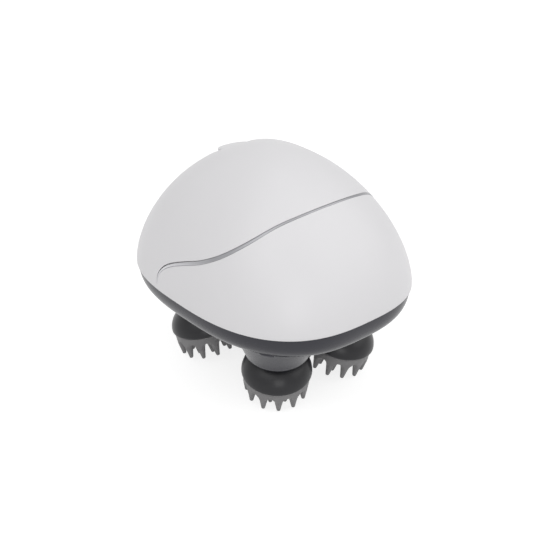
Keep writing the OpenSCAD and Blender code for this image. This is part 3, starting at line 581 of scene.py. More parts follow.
def band_solid(name):
    """The strip's band with its gaps, right through the body from side to side."""
    loop = shifted_curve(-1, -LOWER_GAP_SHARE) + list(reversed(shifted_curve(1, 1)))
    return grow(name, [[(x, p.x, p.y) for p in loop] for x in (-BAND_REACH, BAND_REACH)],
                close_first=True, close_last=True)


def dome_solid(name, inset, count=128, levels=40, skirt=2 * MM):
    """A smaller dome inside the skin, with a short skirt below the rim."""
    rings = [[dome_point(0.0, a, inset) - Vector((0, 0, skirt)) for a in turns(count)]]
    rings += [[dome_point(level / levels, a, inset) for a in turns(count)]
              for level in range(levels)]
    return grow(name, rings, close_first=True, close_last=True)


groove = band_solid("groove")
cut(groove, dome_solid("groove_floor", GROOVE_DEPTH))
cut(cover, groove)
smooth(cover, 34)
finish_piece(cover, "housing", "white_shell", "upper_cover")

# %% Silver strip
# Each line of the strip is a share of its half width and a height over the skin in mm.
STRIP_LINES = [(-1.0, -0.24), (-0.98, -0.12), (-0.9, -0.04), (-0.75, 0.02), (-0.4, 0.07),
               (0.0, 0.09), (0.4, 0.07), (0.75, 0.02), (0.9, -0.04), (0.98, -0.12), (1.0, -0.24)]
STRIP_COUNT = 260
STRIP_DEPTH = 0.75 * MM
FINE_STEPS = 12
CREST_HALVINGS = 30
LEAST_SHARE = 1e-6
LEAST_SPAN = 1e-12
FEELER = 0.02 * MM


def dome_half_width(y, z):
    """How far the dome reaches to a side at a place of its side view, or None outside it."""
    share, up = share_at(z)
    if share < LEAST_SHARE:
        return None
    squareness = squareness_at(up)
    left = 1 - (abs(y) / (HALF_L * share)) ** squareness
    if left <= 0:
        return None
    return HALF_W * share * left ** (1 / squareness)


def evened(points, count):
    """A line through points, walked in a number of equal steps."""
    lengths = [0.0]
    for a, b in zip(points, points[1:]):
        lengths.append(lengths[-1] + (b - a).length)
    even = []
    k = 0
    for step in range(count + 1):
        at = lengths[-1] * step / count
        while k < len(points) - 2 and lengths[k + 1] < at:
            k += 1
        span = max(lengths[k + 1] - lengths[k], LEAST_SPAN)
        even.append(points[k].lerp(points[k + 1], min(max((at - lengths[k]) / span, 0), 1)))
    return even


def strip_line(across):
    """One long line of the strip: the left side, over the front, then the right side."""
    curve = shifted_curve(across)
    fine = [a.lerp(b, j / FINE_STEPS) for a, b in zip(curve, curve[1:])
            for j in range(FINE_STEPS)]
    half = []
    for k, p in enumerate(fine):
        width = dome_half_width(p.x, p.y)
        if width is None:
            inner, outer = fine[k - 1], p
            for _ in range(CREST_HALVINGS):
                middle = inner.lerp(outer, 0.5)
                if dome_half_width(middle.x, middle.y) is None:
                    outer = middle
                else:
                    inner = middle
                    half.append(Vector((-dome_half_width(inner.x, inner.y), inner.x, inner.y)))
            half.append(Vector((0, inner.x, inner.y)))
            break
        half.append(Vector((-width, p.x, p.y)))
    whole = half + [Vector((-p.x, p.y, p.z)) for p in reversed(half[:-1])]
    return evened(whole, STRIP_COUNT)


def dome_normal(point):
    """Direction straight out of the dome at a point of its skin."""
    steps = [Vector((FEELER, 0, 0)), Vector((0, FEELER, 0)), Vector((0, 0, FEELER))]
    return Vector([dome_level(point + step) - dome_level(point - step)
                   for step in steps]).normalized()


strip_rows = []
for across, lift in STRIP_LINES:
    line = strip_line(across)
    strip_rows.append([p + dome_normal(p) * lift * MM for p in line])
strip = sheet_through("silver_strip", strip_rows)
tidy_normals(strip)
apply_modifier(strip, "SOLIDIFY", thickness=STRIP_DEPTH, offset=-1, use_even_offset=True)
smooth(strip, 40)
finish_piece(strip, "housing", "silver_trim", "trim_strip")

# %% [markdown]
# The casing is a shallow bowl under the rim. Four round skirts lean out of its floor, one
# over each bell. They are turned on the heads' own axes, which the frame gives, and joined
# to the bowl. The hollows, screw wells and the port's recess are cut afterwards.

# %% Frames of the heads
HEAD_KEYS = ["fl", "fr", "rl", "rr"]
# Degrees that each pad has turned.
HEAD_STOPS = {"fl": 0, "fr": 27, "rl": 3, "rr": 23}
joints = {joint["name"]: joint for joint in frame["joints"]}


def head_frame(key, turn=0.0):
    """Local Z runs up a head's axis from the plane of its fingertips."""
    joint = joints[f"head_{key}_spin"]
    up = Vector(joint["axis"]).normalized()
    round_z = math.atan2(up.y, up.x)
    lean = math.acos(up.z)
    return (Matrix.Translation(Vector(joint["pos_m"]))
            @ Matrix.Rotation(round_z, 4, "Z") @ Matrix.Rotation(lean, 4, "Y")
            @ Matrix.Rotation(math.radians(turn), 4, "Z"))


head_lean = math.acos(Vector(joints["head_fl_spin"]["axis"]).normalized().z)
tips_z = joints["head_fl_spin"]["pos_m"][2]

# %% Casing
CASING_D = 12.5 * MM
CASING_WALL = 2.2 * MM
CASING_IN = 9.0 * MM
CASING_STEP = 0.8 * MM
SEAL_T = 0.5 * MM
CASING_FULLNESS = 2.4
CASING_SIDE_TUCK = 1.35
SKIRT_R = 15.4 * MM
SKIRT_TOP_R = 18.6 * MM
SKIRT_WALL = 2.0 * MM
SKIRT_UP = 27.3 * MM
SKIRT_LIP_H = 0.7 * MM
SKIRT_OVER = 7 * MM
SKIRT_RINGS = 8
HOLLOW_R = SKIRT_R - SKIRT_WALL
HOLLOW_OVER = 5 * MM
BORE_R = 6.0 * MM
BLOCK_W = 0.3
BLOCK_H = 0.1
WELL_R = 2.7 * MM
WELL_MOUTH_R = 3.0 * MM
SCREW_HOLE_R = 1.55 * MM
SCREW_HOLE_TOP = 9 * MM
# The screws' places across and along the floor, and the depths of their wells, in mm.
WELLS = [(14, 54, 1.5), (-14, 54, 1.5), (14, -54, 1.5), (-14, -54, 1.5),
         (33.5, 0, 1.1), (-33.5, 0, 1.1), (0, 44, 1.1), (0, -44, 1.1)]
floor_z = rim_z - CASING_D


def bowl_ring(t, wall, count):
    """A level ring of the bowl, a share t of the way down from the rim to the floor."""
    side = math.cos(t * math.pi / 2) ** (2 / CASING_FULLNESS)
    down = math.sin(t * math.pi / 2) ** (2 / CASING_FULLNESS)
    tuck = (CASING_IN - CASING_STEP) * (1 - side)
    half_w = HALF_W - CASING_STEP - wall - tuck * CASING_SIDE_TUCK
    half_l = HALF_L - CASING_STEP - wall - tuck
    z = rim_z - SEAL_T - (CASING_D - SEAL_T - wall) * down
    ring = []
    for angle in turns(count):
        radius = outline_radius(angle, half_w, half_l, RIM_SQUARENESS)
        ring.append((radius * math.cos(angle), radius * math.sin(angle), z))
    return ring


def bowl_solid(name, wall, count, levels, raise_top=0.0):
    rings = [bowl_ring(level / levels, wall, count) for level in range(levels, -1, -1)]
    if raise_top:
        rings.append([(x, y, z + raise_top) for x, y, z in rings[-1]])
    return grow(name, rings, close_first=True, close_last=True)


def skirt_profile(floor_up):
    """Outer side of a skirt, a cone from its lip up into the bowl."""
    cone_low = SKIRT_UP + SKIRT_LIP_H
    cone_rise = floor_up + SKIRT_OVER - cone_low
    widening = (SKIRT_TOP_R - SKIRT_R) / (floor_up - cone_low)
    profile = [(0, SKIRT_UP), (SKIRT_R - 0.7 * MM, SKIRT_UP),
               (SKIRT_R - 0.3 * MM, SKIRT_UP + 0.06 * MM),
               (SKIRT_R - 0.08 * MM, SKIRT_UP + 0.3 * MM), (SKIRT_R, cone_low)]
    for k in range(1, SKIRT_RINGS + 1):
        up = cone_rise * k / SKIRT_RINGS
        profile.append((SKIRT_R + widening * up, cone_low + up))
    profile.append((0, cone_low + cone_rise))
    return profile


def hollow_profile(floor_up):
    """The room inside a skirt, with a rounded mouth."""
    return [(0, SKIRT_UP - 1 * MM), (HOLLOW_R + 0.9 * MM, SKIRT_UP - 1 * MM),
            (HOLLOW_R + 0.5 * MM, SKIRT_UP), (HOLLOW_R + 0.12 * MM, SKIRT_UP + 0.5 * MM),
            (HOLLOW_R, SKIRT_UP + 1 * MM), (SKIRT_TOP_R - SKIRT_WALL, floor_up + HOLLOW_OVER),
            (0, floor_up + HOLLOW_OVER)]


def well_profile(depth):
    """A screw's well with a softened mouth, and the hole for its shank."""
    return [(0, -1 * MM), (WELL_MOUTH_R, -1 * MM), (WELL_MOUTH_R, 0), (WELL_R, 0.3 * MM),
            (WELL_R, depth), (SCREW_HOLE_R, depth), (SCREW_HOLE_R, SCREW_HOLE_TOP),
            (0, SCREW_HOLE_TOP)]


def block_above(z):
    """A wide block whose underside lies at a height."""
    bpy.ops.mesh.primitive_cube_add(size=1, location=(0, 0, z + BLOCK_H / 2))
    block = bpy.context.object
    block.scale = (BLOCK_W, BLOCK_W, BLOCK_H)
    settle(block)
    return block


skirt_base = (floor_z - tips_z) / math.cos(head_lean)
casing = bowl_solid("casing_shell", 0, 224, 36)
for key in HEAD_KEYS:
    skirt = turned("skirt_" + key, skirt_profile(skirt_base), 128)
    place(skirt, head_frame(key))
    cut(skirt, block_above(floor_z + CASING_WALL))
    cut(casing, skirt, "UNION")
cut(casing, bowl_solid("bowl_inside", CASING_WALL, 128, 10, raise_top=3 * MM))
for key in HEAD_KEYS:
    hollow = turned("hollow_" + key, hollow_profile(skirt_base), 96)
    place(hollow, head_frame(key))
    cut(hollow, block_above(floor_z))
    cut(casing, hollow)
    bore = turned("bore_" + key, [(0, SKIRT_UP), (BORE_R, SKIRT_UP), (BORE_R, skirt_base * 2),
                                  (0, skirt_base * 2)], 48)
    place(bore, head_frame(key))
    cut(casing, bore)
for x, y, depth in WELLS:
    well = turned("well", well_profile(depth * MM), 40)
    place(well, Matrix.Translation((x * MM, y * MM, floor_z)))
    cut(casing, well)
print("casing:", len(casing.data.polygons), "faces")

# %% Port recess
RECESS_PLAY = 0.4 * MM
PLUG_SEAT = 1.65 * MM
PAST_SIDE = 4 * MM
THROAT_W = 9.5 * MM
THROAT_H = 3.7 * MM
THROAT_L = 9 * MM
SLOT_POINTS = 32
port_low, port_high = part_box("port_plug")
port_z = (port_low.z + port_high.z) / 2


def slot_solid(name, width, height, y0, y1):
    """A bar with a round-ended section that runs along Y."""
    half = (width - height) / 2
    loop = []
    for k in range(SLOT_POINTS):
        angle = -math.pi / 2 + 2 * math.pi * (k + 0.5) / SLOT_POINTS
        side = 1 if math.cos(angle) >= 0 else -1
        loop.append((side * half + height / 2 * math.cos(angle), height / 2 * math.sin(angle)))
    return grow(name, [[(x, y, port_z + z) for x, z in loop] for y in (y0, y1)],
                close_first=True, close_last=True)


cut(casing, slot_solid("recess", port_high.x - port_low.x + RECESS_PLAY,
                       port_high.z - port_low.z + RECESS_PLAY, port_high.y - PLUG_SEAT,
                       HALF_L + PAST_SIDE))
cut(casing, slot_solid("throat", THROAT_W, THROAT_H, port_low.y - THROAT_L, HALF_L))
apply_modifier(casing, "WEIGHTED_NORMAL", keep_sharp=True, weight=60)
smooth(casing, 24)
finish_piece(casing, "housing", "grey_casing", "lower_casing")

# %% [markdown]
# Each bell is turned on its head's axis: a wide rim, a full shoulder and a narrow neck. The
# finger pad is one soft moulding. Its fingers are cones that flare into the disc, so the
# roots of neighbours meet in low arches. All of it is fused by a fine remesh and relaxed,
# as silicone comes out of its mould.

# %% Bells
BELL_R = 16.5 * MM
BELL_LOW_R = 15.6 * MM
BELL_H = 14.0 * MM
BELL_WALL = 1.8 * MM
BELL_WIDE_UP = 2.4 * MM
BELL_ARC = 74
BELL_SIDE_POWER = 0.92
BELL_RISE_POWER = 1.06
FLARE_UP = 0.16 * MM
FLARE_RINGS = 5
FLARE_START = 0.2
LIP_H = 1.1 * MM
LIP_T = 0.45 * MM
PAD_H = 10.6 * MM
HUB_NECK_R = 4.8 * MM
HUB_TOP = SKIRT_UP + 2.2 * MM


def bell_side(inset, steps):
    """A bell's side from its widest ring up over the shoulder, as radii and heights."""
    side = []
    for k in range(steps + 1):
        angle = math.radians(BELL_ARC * k / steps)
        side.append(((BELL_R - inset) * math.cos(angle) ** BELL_SIDE_POWER,
                     PAD_H + BELL_WIDE_UP
                     + (BELL_H - BELL_WIDE_UP - inset) * math.sin(angle) ** BELL_RISE_POWER))
    return side


def bell_profile():
    """The whole bell: its inside, the step for the pad's lip, the flare, shoulder and neck."""
    outer = bell_side(0, 30)
    inner = bell_side(BELL_WALL, 14)
    low = [(BELL_LOW_R - BELL_WALL, PAD_H), (BELL_LOW_R - LIP_T, PAD_H),
           (BELL_LOW_R - LIP_T, PAD_H + LIP_H + 0.02 * MM),
           (BELL_LOW_R - 0.05 * MM, PAD_H + LIP_H + 0.04 * MM),
           (BELL_LOW_R + 0.12 * MM, PAD_H + LIP_H + FLARE_UP)]
    for k in range(1, FLARE_RINGS):
        share = k / FLARE_RINGS
        widening = FLARE_START + (1 - FLARE_START) * math.sin(share * math.pi / 2)
        low.append((BELL_LOW_R + (BELL_R - BELL_LOW_R) * widening,
                    PAD_H + LIP_H + FLARE_UP + (BELL_WIDE_UP - LIP_H - FLARE_UP) * share))
    neck = [(HUB_NECK_R + 0.25 * MM, PAD_H + BELL_H + 0.1 * MM),
            (HUB_NECK_R, PAD_H + BELL_H + 0.5 * MM), (HUB_NECK_R, HUB_TOP - 0.2 * MM),
            (HUB_NECK_R - 0.2 * MM, HUB_TOP)]
    return [(0, inner[-1][1])] + inner[::-1] + low + outer + neck + [(0, HUB_TOP)]


for key in HEAD_KEYS:
    bell = turned("bell_" + key, bell_profile(), 128)
    place(bell, head_frame(key))
    smooth(bell, 40)
    finish_piece(bell, "head_" + key, "bell_black", "head_hub_" + key)

# %% Finger pads
PAD_RIM_H = 2.3 * MM
PAD_RIM_LOW = PAD_H - PAD_RIM_H
PAD_INTO_BELL = 1.3 * MM
PAD_IN_R = BELL_LOW_R - BELL_WALL - 0.1 * MM
OUTER_FINGERS = 12
INNER_FINGERS = 8
OUTER_RING = 13.9 * MM
ROOT_RING = 13.5 * MM
INNER_RING = 9.0 * MM
FINGER_POINTS = 28
SKIN_CELL = 0.26 * MM
KEPT_FACES = 0.45
# Radii and heights of a finger in mm, from its tip up into the disc.
FINGER_PROFILE = [(0.5, 0.0), (0.74, 0.07), (0.88, 0.24), (0.96, 0.5), (1.14, 1.5), (1.46, 3.3),
                  (1.84, 5.2), (2.12, 6.4), (2.38, 7.1), (2.8, 7.75), (3.4, 8.3), (3.5, 8.9)]


def finger_solid(root_at, tip_at):
    """A finger out along X, leaning from where its root is to where its tip is."""
    rings = []
    for radius, height in FINGER_PROFILE:
        middle = tip_at + (root_at - tip_at) * min(height * MM / PAD_RIM_LOW, 1)
        rings.append(circle(radius * MM, height * MM, FINGER_POINTS, middle))
    return grow("finger", rings, close_first=True, close_last=True)


def pad_in_head_frame():
    """The disc and its fingers, fused into one skin and cut to the bell's radius."""
    disc = turned("pad_disc", [
        (0, PAD_RIM_LOW), (BELL_LOW_R - 0.5 * MM, PAD_RIM_LOW),
        (BELL_LOW_R - 0.15 * MM, PAD_RIM_LOW + 0.1 * MM), (BELL_LOW_R, PAD_RIM_LOW + 0.45 * MM),
        (BELL_LOW_R, PAD_H + LIP_H), (BELL_LOW_R - LIP_T, PAD_H + LIP_H),
        (BELL_LOW_R - LIP_T, PAD_H - 0.05 * MM), (PAD_IN_R, PAD_H - 0.05 * MM),
        (PAD_IN_R, PAD_H + PAD_INTO_BELL), (0, PAD_H + PAD_INTO_BELL)], 128)
    spots = [(k * 360 / OUTER_FINGERS, ROOT_RING, OUTER_RING) for k in range(OUTER_FINGERS)]
    spots += [((k + 0.5) * 360 / INNER_FINGERS, INNER_RING, INNER_RING)
              for k in range(INNER_FINGERS)]
    spots.append((0, 0, 0))
    parts = [disc]
    for turn, root_at, tip_at in spots:
        finger = finger_solid(root_at, tip_at)
        place(finger, Matrix.Rotation(math.radians(turn), 4, "Z"))
        parts.append(finger)
    limit = turned("pad_limit", [(0, -1 * MM), (BELL_LOW_R, -1 * MM), (BELL_LOW_R, 20 * MM),
                                 (0, 20 * MM)], 128)
    bpy.ops.object.select_all(action="DESELECT")
    for part in parts:
        part.select_set(True)
    bpy.context.view_layer.objects.active = disc
    bpy.ops.object.join()
    apply_modifier(disc, "REMESH", mode="VOXEL", voxel_size=SKIN_CELL, adaptivity=0.0)
    cut(disc, limit, "INTERSECT")
    apply_modifier(disc, "REMESH", mode="VOXEL", voxel_size=SKIN_CELL, adaptivity=0.0)
    apply_modifier(disc, "SMOOTH", factor=0.5, iterations=5)
    apply_modifier(disc, "DECIMATE", ratio=KEPT_FACES)
    return disc


pad_pattern = pad_in_head_frame()
for key in HEAD_KEYS:
    pad = pad_pattern.copy()
    pad.data = pad_pattern.data.copy()
    pad.name = "finger_pad_skin_" + key
    bpy.context.scene.collection.objects.link(pad)
    place(pad, head_frame(key, HEAD_STOPS[key]))
    smooth(pad, 60)
    finish_piece(pad, "head_" + key, "silicone_grey", "finger_pad_" + key)
bpy.data.objects.remove(pad_pattern, do_unlink=True)

# %% [markdown]
# The button is a turned cap with a rounded edge, a flange that keeps it in, and a stem that
# reaches the switch. Its face lies more level than the dome, so its rear edge stands proud.

# %% Button
FLANGE_TOP = -4.6 * MM
FLANGE_T = 1 * MM
FLANGE_R = BUTTON_R + 1.4 * MM
STEM_R = 1.6 * MM
STEM_LOW = -8.2 * MM
CAP_TOP = 0.15 * MM
CAP_EDGE = -0.1 * MM
CAP_EDGE_R = 0.45 * MM
CAP_TILT = 0.22
CAP_IN_R = BUTTON_R - 1.6 * MM
CAP_IN_TOP = FLANGE_TOP - 0.2 * MM
FACE_RINGS = 14
EDGE_RINGS = 6

flat_r = BUTTON_R - CAP_EDGE_R
cap_profile = [(flat_r * k / FACE_RINGS, CAP_TOP + (CAP_EDGE - CAP_TOP) * (k / FACE_RINGS) ** 2)
               for k in range(FACE_RINGS + 1)]
for k in range(1, EDGE_RINGS + 1):
    angle = math.pi / 2 * k / EDGE_RINGS
    cap_profile.append((flat_r + CAP_EDGE_R * math.sin(angle),
                        CAP_EDGE - CAP_EDGE_R * (1 - math.cos(angle))))
cap_profile += [(BUTTON_R, FLANGE_TOP), (FLANGE_R - 0.15 * MM, FLANGE_TOP),
                (FLANGE_R, FLANGE_TOP - 0.15 * MM), (FLANGE_R, FLANGE_TOP - FLANGE_T),
                (CAP_IN_R, FLANGE_TOP - FLANGE_T), (CAP_IN_R, CAP_IN_TOP),
                (STEM_R, CAP_IN_TOP), (STEM_R, STEM_LOW), (0, STEM_LOW)]
button = turned("button_cap", cap_profile[::-1], 128)
for vertex in button.data.vertices:
    share = max(0, (vertex.co.z - FLANGE_TOP) / (CAP_TOP - FLANGE_TOP))
    vertex.co.z += CAP_TILT * vertex.co.y * share
place(button, button_frame)
smooth(button, 40)
finish_piece(button, "button", "white_shell", "power_button")

# %% [markdown]
# Every finish is worked out from the object's own coordinates. Small node groups carry
# what finishes share: the fine grain that a mould leaves, the matt bloom of silicone, the
# drawn lines of metal, and the tracks of a circuit board.

# %% Node groups
def srgb(red, green, blue):
    """A colour as it looks on a screen, 0 to 255, in the linear values that shaders use."""
    linear = []
    for value in (red, green, blue):
        share = value / 255
        linear.append(share / 12.92 if share <= 0.04045 else ((share + 0.055) / 1.055) ** 2.4)
    return (*linear, 1.0)


COLOUR, NUMBER, VECTOR = "NodeSocketColor", "NodeSocketFloat", "NodeSocketVector"
SKIN_OUTPUTS = [("Colour", COLOUR), ("Roughness", NUMBER), ("Normal", VECTOR)]
# Sizes as shares of a texture's cell, and how much matter a fleck of dust is.
DUST_SIZE = 0.055
DUST_MATT = 0.06
LINT_SIZE = 0.05
TRACK_FOLD = 0.16
TRACK_EDGE = 0.1
DOT_SIZE = 0.12


def open_group(name, inputs):
    """A new group for a finish, with what it is given and the spot on the object."""
    group = bpy.data.node_groups.new(name, "ShaderNodeTree")
    for label, kind, value in inputs:
        socket = group.interface.new_socket(name=label, in_out="INPUT", socket_type=kind)
        socket.default_value = value
    for label, kind in SKIN_OUTPUTS:
        group.interface.new_socket(name=label, in_out="OUTPUT", socket_type=kind)
    given = add(group, "NodeGroupInput").outputs
    spot = add(group, "ShaderNodeTexCoord").outputs["Object"]
    return group, given, spot


def close_group(group, *results):
    """Gives out a colour, a roughness and a normal."""
    labels = [label for label, kind in SKIN_OUTPUTS]
    add(group, "NodeGroupOutput", dict(zip(labels, results)))
    return group


def noise(tree, vector, **values):
    return add(tree, "ShaderNodeTexNoise", {"Vector": vector}, **values).outputs["Fac"]


def cells(tree, vector, **values):
    return add(tree, "ShaderNodeTexVoronoi", {"Vector": vector}, **values).outputs["Distance"]


def spread(tree, factor, low, high):
    """A factor of 0 to 1 spread over another range."""
    node = add(tree, "ShaderNodeMapRange", {"Value": factor}, To_Min=low, To_Max=high)
    return node.outputs["Result"]


def mixed(tree, factor, first, second):
    """Colour mix; factor, first and second are sockets."""
    node = add(tree, "ShaderNodeMix", {0: factor, 6: first, 7: second}, data_type="RGBA")
    return node.outputs[2]


def moulded_group():
    """Moulded plastic: faint cloudiness, fine grain, and a little dust in the gloss."""
    group, given, spot = open_group("moulded_skin", [
        ("Colour", COLOUR, grey(0.8)), ("Cloud colour", COLOUR, grey(0.7)),
        ("Roughness", NUMBER, 0.35), ("Grain per metre", NUMBER, 2600.0),
        ("Grain depth", NUMBER, 0.00002), ("Grain strength", NUMBER, 0.12)])
    grain = add(group, "ShaderNodeTexNoise", {"Vector": spot, "Scale": given["Grain per metre"]},
                Detail=3.0, Roughness=0.55)
    ripple = noise(group, spot, Scale=55.0, Detail=2.0)
    cloud = noise(group, spot, Scale=26.0, Detail=4.0, Roughness=0.6)
    fleck = maths(group, "LESS_THAN", cells(group, spot, Scale=900.0), DUST_SIZE)
    bump = add(group, "ShaderNodeBump", {"Height": grain.outputs["Fac"],
                                         "Strength": given["Grain strength"],
                                         "Distance": given["Grain depth"]})
    wave = add(group, "ShaderNodeBump", {"Height": ripple, "Normal": bump.outputs["Normal"]},
               Strength=0.05, Distance=0.0004)
    share = spread(group, cloud, 0.0, 1.0)
    colour = mixed(group, share, given["Colour"], given["Cloud colour"])
    rough = maths(group, "ADD", given["Roughness"], spread(group, cloud, -0.04, 0.05))
    dusty = maths(group, "MULTIPLY_ADD", fleck, DUST_MATT, rough)
    return close_group(group, colour, dusty, wave.outputs["Normal"])


def drawn_metal_group():
    """Metal with fine drawn lines along one direction, a soft tarnish, and a painted highlight:
    the colour lightens towards one end along Y.
    """
    group, given, spot = open_group("drawn_metal", [
        ("Colour", COLOUR, grey(0.7)), ("Tarnish", COLOUR, grey(0.5)),
        ("Painted highlight colour", COLOUR, grey(0.7)), ("Painted highlight from Y", NUMBER, 1.0),
        ("Painted highlight to Y", NUMBER, 1.1), ("Roughness", NUMBER, 0.3),
        ("Lines", VECTOR, (300.0, 300.0, 4000.0)), ("Line depth", NUMBER, 0.00001)])
    stretch = add(group, "ShaderNodeVectorMath", {0: spot, 1: given["Lines"]},
                  operation="MULTIPLY")
    lines = noise(group, stretch.outputs[0], Scale=1.0, Detail=4.0, Roughness=0.6)
    stain = noise(group, spot, Scale=120.0, Detail=5.0)
    bump = add(group, "ShaderNodeBump", {"Height": lines, "Distance": given["Line depth"]},
               Strength=0.35)
    stained = mixed(group, spread(group, stain, -0.2, 0.9), given["Colour"], given["Tarnish"])
    across = add(group, "ShaderNodeSeparateXYZ", {"Vector": spot})
    # Painted highlight: along Y the colour turns to a lighter one, so the strip's rear ends look
    # lit.
    painted_highlight = add(group, "ShaderNodeMapRange", {"Value": across.outputs["Y"],
                                             "From Min": given["Painted highlight from Y"],
                                             "From Max": given["Painted highlight to Y"]})
    colour = mixed(group, painted_highlight.outputs["Result"], stained, given["Painted highlight colour"])
    rough = maths(group, "ADD", given["Roughness"], spread(group, lines, -0.06, 0.08))
    return close_group(group, colour, rough, bump.outputs["Normal"])


def silicone_group():
    """Silicone: a matt bloom, soft mottling and lint that clings to it."""
    group, given, spot = open_group("silicone_skin", [
        ("Colour", COLOUR, grey(0.3)), ("Bloom colour", COLOUR, grey(0.4)),
        ("Roughness", NUMBER, 0.55)])
    bloom = noise(group, spot, Scale=160.0, Detail=5.0, Roughness=0.65)
    pores = noise(group, spot, Scale=4200.0, Detail=2.0)
    speck = maths(group, "LESS_THAN", cells(group, spot, Scale=700.0), LINT_SIZE)
    share = maths(group, "MAXIMUM", spread(group, bloom, -0.1, 0.9), speck, clamp=True)
    colour = mixed(group, share, given["Colour"], given["Bloom colour"])
    rough = maths(group, "ADD", given["Roughness"], spread(group, bloom, -0.05, 0.1))
    bump = add(group, "ShaderNodeBump", {"Height": pores}, Strength=0.18, Distance=0.00002)
    return close_group(group, colour, rough, bump.outputs["Normal"])


def board_group():
    """Solder mask over copper tracks, with small tinned dots."""
    group, given, spot = open_group("board_skin", [
        ("Colour", COLOUR, (0.02, 0.12, 0.05, 1)), ("Track colour", COLOUR, (0.05, 0.25, 0.1, 1)),
        ("Dot colour", COLOUR, (0.6, 0.55, 0.4, 1)), ("Roughness", NUMBER, 0.35)])
    tracks = cells(group, spot, Scale=380.0, distance="MANHATTAN", feature="F1")
    on_track = maths(group, "GREATER_THAN", maths(group, "PINGPONG", tracks, TRACK_FOLD),
                     TRACK_EDGE)
    on_dot = maths(group, "LESS_THAN", cells(group, spot, Scale=520.0), DOT_SIZE)
    first = mixed(group, on_track, given["Colour"], given["Track colour"])
    colour = mixed(group, on_dot, first, given["Dot colour"])
    bump = add(group, "ShaderNodeBump", {"Height": on_track}, Strength=0.3, Distance=0.00004)
    rough = maths(group, "ADD", given["Roughness"], spread(group, on_dot, 0.0, -0.12))
    return close_group(group, colour, rough, bump.outputs["Normal"])


groups = {"moulded": moulded_group(), "metal": drawn_metal_group(), "silicone": silicone_group(),
          "board": board_group()}
print("groups:", sorted(groups))

# %% [markdown]
# One material is made for each finish that the frame names. A group sets colour, roughness
# and normal; what stays constant is set on the shader itself.

# %% Materials
SECOND_COLOUR = {"moulded": "Cloud colour", "metal": "Tarnish", "silicone": "Bloom colour",
                 "board": "Track colour"}
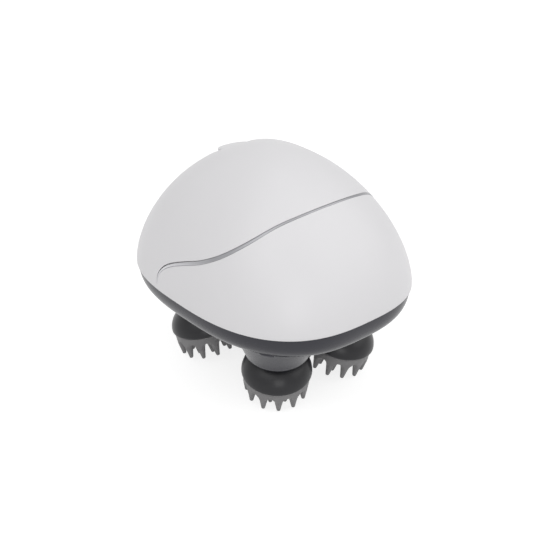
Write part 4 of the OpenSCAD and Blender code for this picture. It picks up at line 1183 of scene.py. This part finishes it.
# Each finish has a group, its two colours, its other values, and the shader's own values.
FINISHES = {
    "white_shell": ("moulded", (224, 223, 225), (220, 219, 221),
                    {"Roughness": 0.42, "Grain per metre": 3000.0, "Grain strength": 0.08},
                    {"IOR": 1.5, "Coat Weight": 0.12, "Coat Roughness": 0.3}),
    # The strip carries a painted highlight: its colour lightens from the front to its rear ends.
    "silver_trim": ("metal", (158, 158, 161), (146, 146, 150),
                    {"Painted highlight colour": srgb(206, 206, 209), "Painted highlight from Y": -0.016,
                     "Painted highlight to Y": 0.012, "Roughness": 0.3, "Lines": (900.0, 900.0, 900.0)},
                    {"Metallic": 0.85}),
    "grey_casing": ("moulded", (52, 52, 59), (48, 48, 55),
                    {"Roughness": 0.26, "Grain per metre": 2400.0, "Grain strength": 0.16},
                    {"IOR": 1.4}),
    "black_rubber": ("silicone", (26, 26, 28), (36, 36, 38), {"Roughness": 0.6}, {}),
    "screw_steel": ("metal", (176, 178, 182), (140, 142, 148), {"Roughness": 0.32},
                    {"Metallic": 1.0}),
    "circuit_board": ("board", (16, 84, 48), (30, 116, 66),
                      {"Dot colour": srgb(190, 184, 160), "Roughness": 0.36}, {}),
    "black_plastic": ("moulded", (30, 30, 32), (36, 36, 38), {"Roughness": 0.45}, {}),
    "red_plastic": ("moulded", (196, 44, 34), (184, 38, 30), {"Roughness": 0.4}, {}),
    "chassis_plastic": ("moulded", (84, 86, 90), (74, 76, 80),
                        {"Roughness": 0.6, "Grain strength": 0.3}, {}),
    "shaft_steel": ("metal", (188, 190, 194), (160, 162, 168), {"Roughness": 0.2},
                    {"Metallic": 1.0}),
    "gear_plastic": ("moulded", (233, 230, 218), (226, 222, 208), {"Roughness": 0.38},
                     {"Subsurface Weight": 0.15,
                      "Subsurface Radius": (0.002, 0.0017, 0.0012)}),
    "brass_part": ("metal", (206, 170, 92), (172, 134, 66), {"Roughness": 0.28},
                   {"Metallic": 1.0}),
    "motor_steel": ("metal", (184, 186, 190), (164, 166, 170), {"Roughness": 0.3},
                    {"Metallic": 1.0}),
    "cell_wrap": ("moulded", (52, 108, 186), (44, 98, 174),
                  {"Roughness": 0.25, "Grain strength": 0.04},
                  {"Coat Weight": 0.4, "Coat Roughness": 0.15}),
    "socket_steel": ("metal", (198, 200, 204), (170, 172, 176), {"Roughness": 0.22},
                     {"Metallic": 1.0}),
    "plug_rubber": ("silicone", (74, 74, 80), (88, 88, 94), {"Roughness": 0.6}, {}),
    "bell_black": ("moulded", (38, 38, 41), (33, 33, 36),
                   {"Roughness": 0.32, "Grain per metre": 2800.0, "Grain strength": 0.08},
                   {"IOR": 1.4}),
    "silicone_grey": ("silicone", (124, 123, 124), (134, 133, 134), {"Roughness": 0.5},
                      {"Subsurface Weight": 0.2,
                       "Subsurface Radius": (0.0015, 0.0015, 0.0015)}),
}


def finish_material(slot_name, group_name, colour, second_colour, skin_values, shader_values):
    material = bpy.data.materials.new("finish_" + slot_name)
    material.use_nodes = True
    tree = material.node_tree
    shader = tree.nodes["Principled BSDF"]
    skin = tree.nodes.new("ShaderNodeGroup")
    skin.node_tree = groups[group_name]
    skin.inputs["Colour"].default_value = srgb(*colour)
    skin.inputs[SECOND_COLOUR[group_name]].default_value = srgb(*second_colour)
    for label, value in skin_values.items():
        skin.inputs[label].default_value = value
    for label, value in shader_values.items():
        shader.inputs[label].default_value = value
    for given, taken in [("Colour", "Base Color"), ("Roughness", "Roughness"),
                         ("Normal", "Normal")]:
        tree.links.new(skin.outputs[given], shader.inputs[taken])
    return material


def dress(obj, slot_name):
    obj.data.materials.clear()
    obj.data.materials.append(finishes[slot_name])


finishes = {name: finish_material(name, *parts) for name, parts in FINISHES.items()}
slot_of_node = {part["node"]: part["material_slot"] for part in frame["record"]["subparts"]}
for node_name, obj in nodes.items():
    dress(obj, slot_of_node[node_name])
for obj in bpy.context.scene.objects:
    if "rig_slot" in obj.keys():
        dress(obj, obj["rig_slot"])
print("materials:", len(finishes))
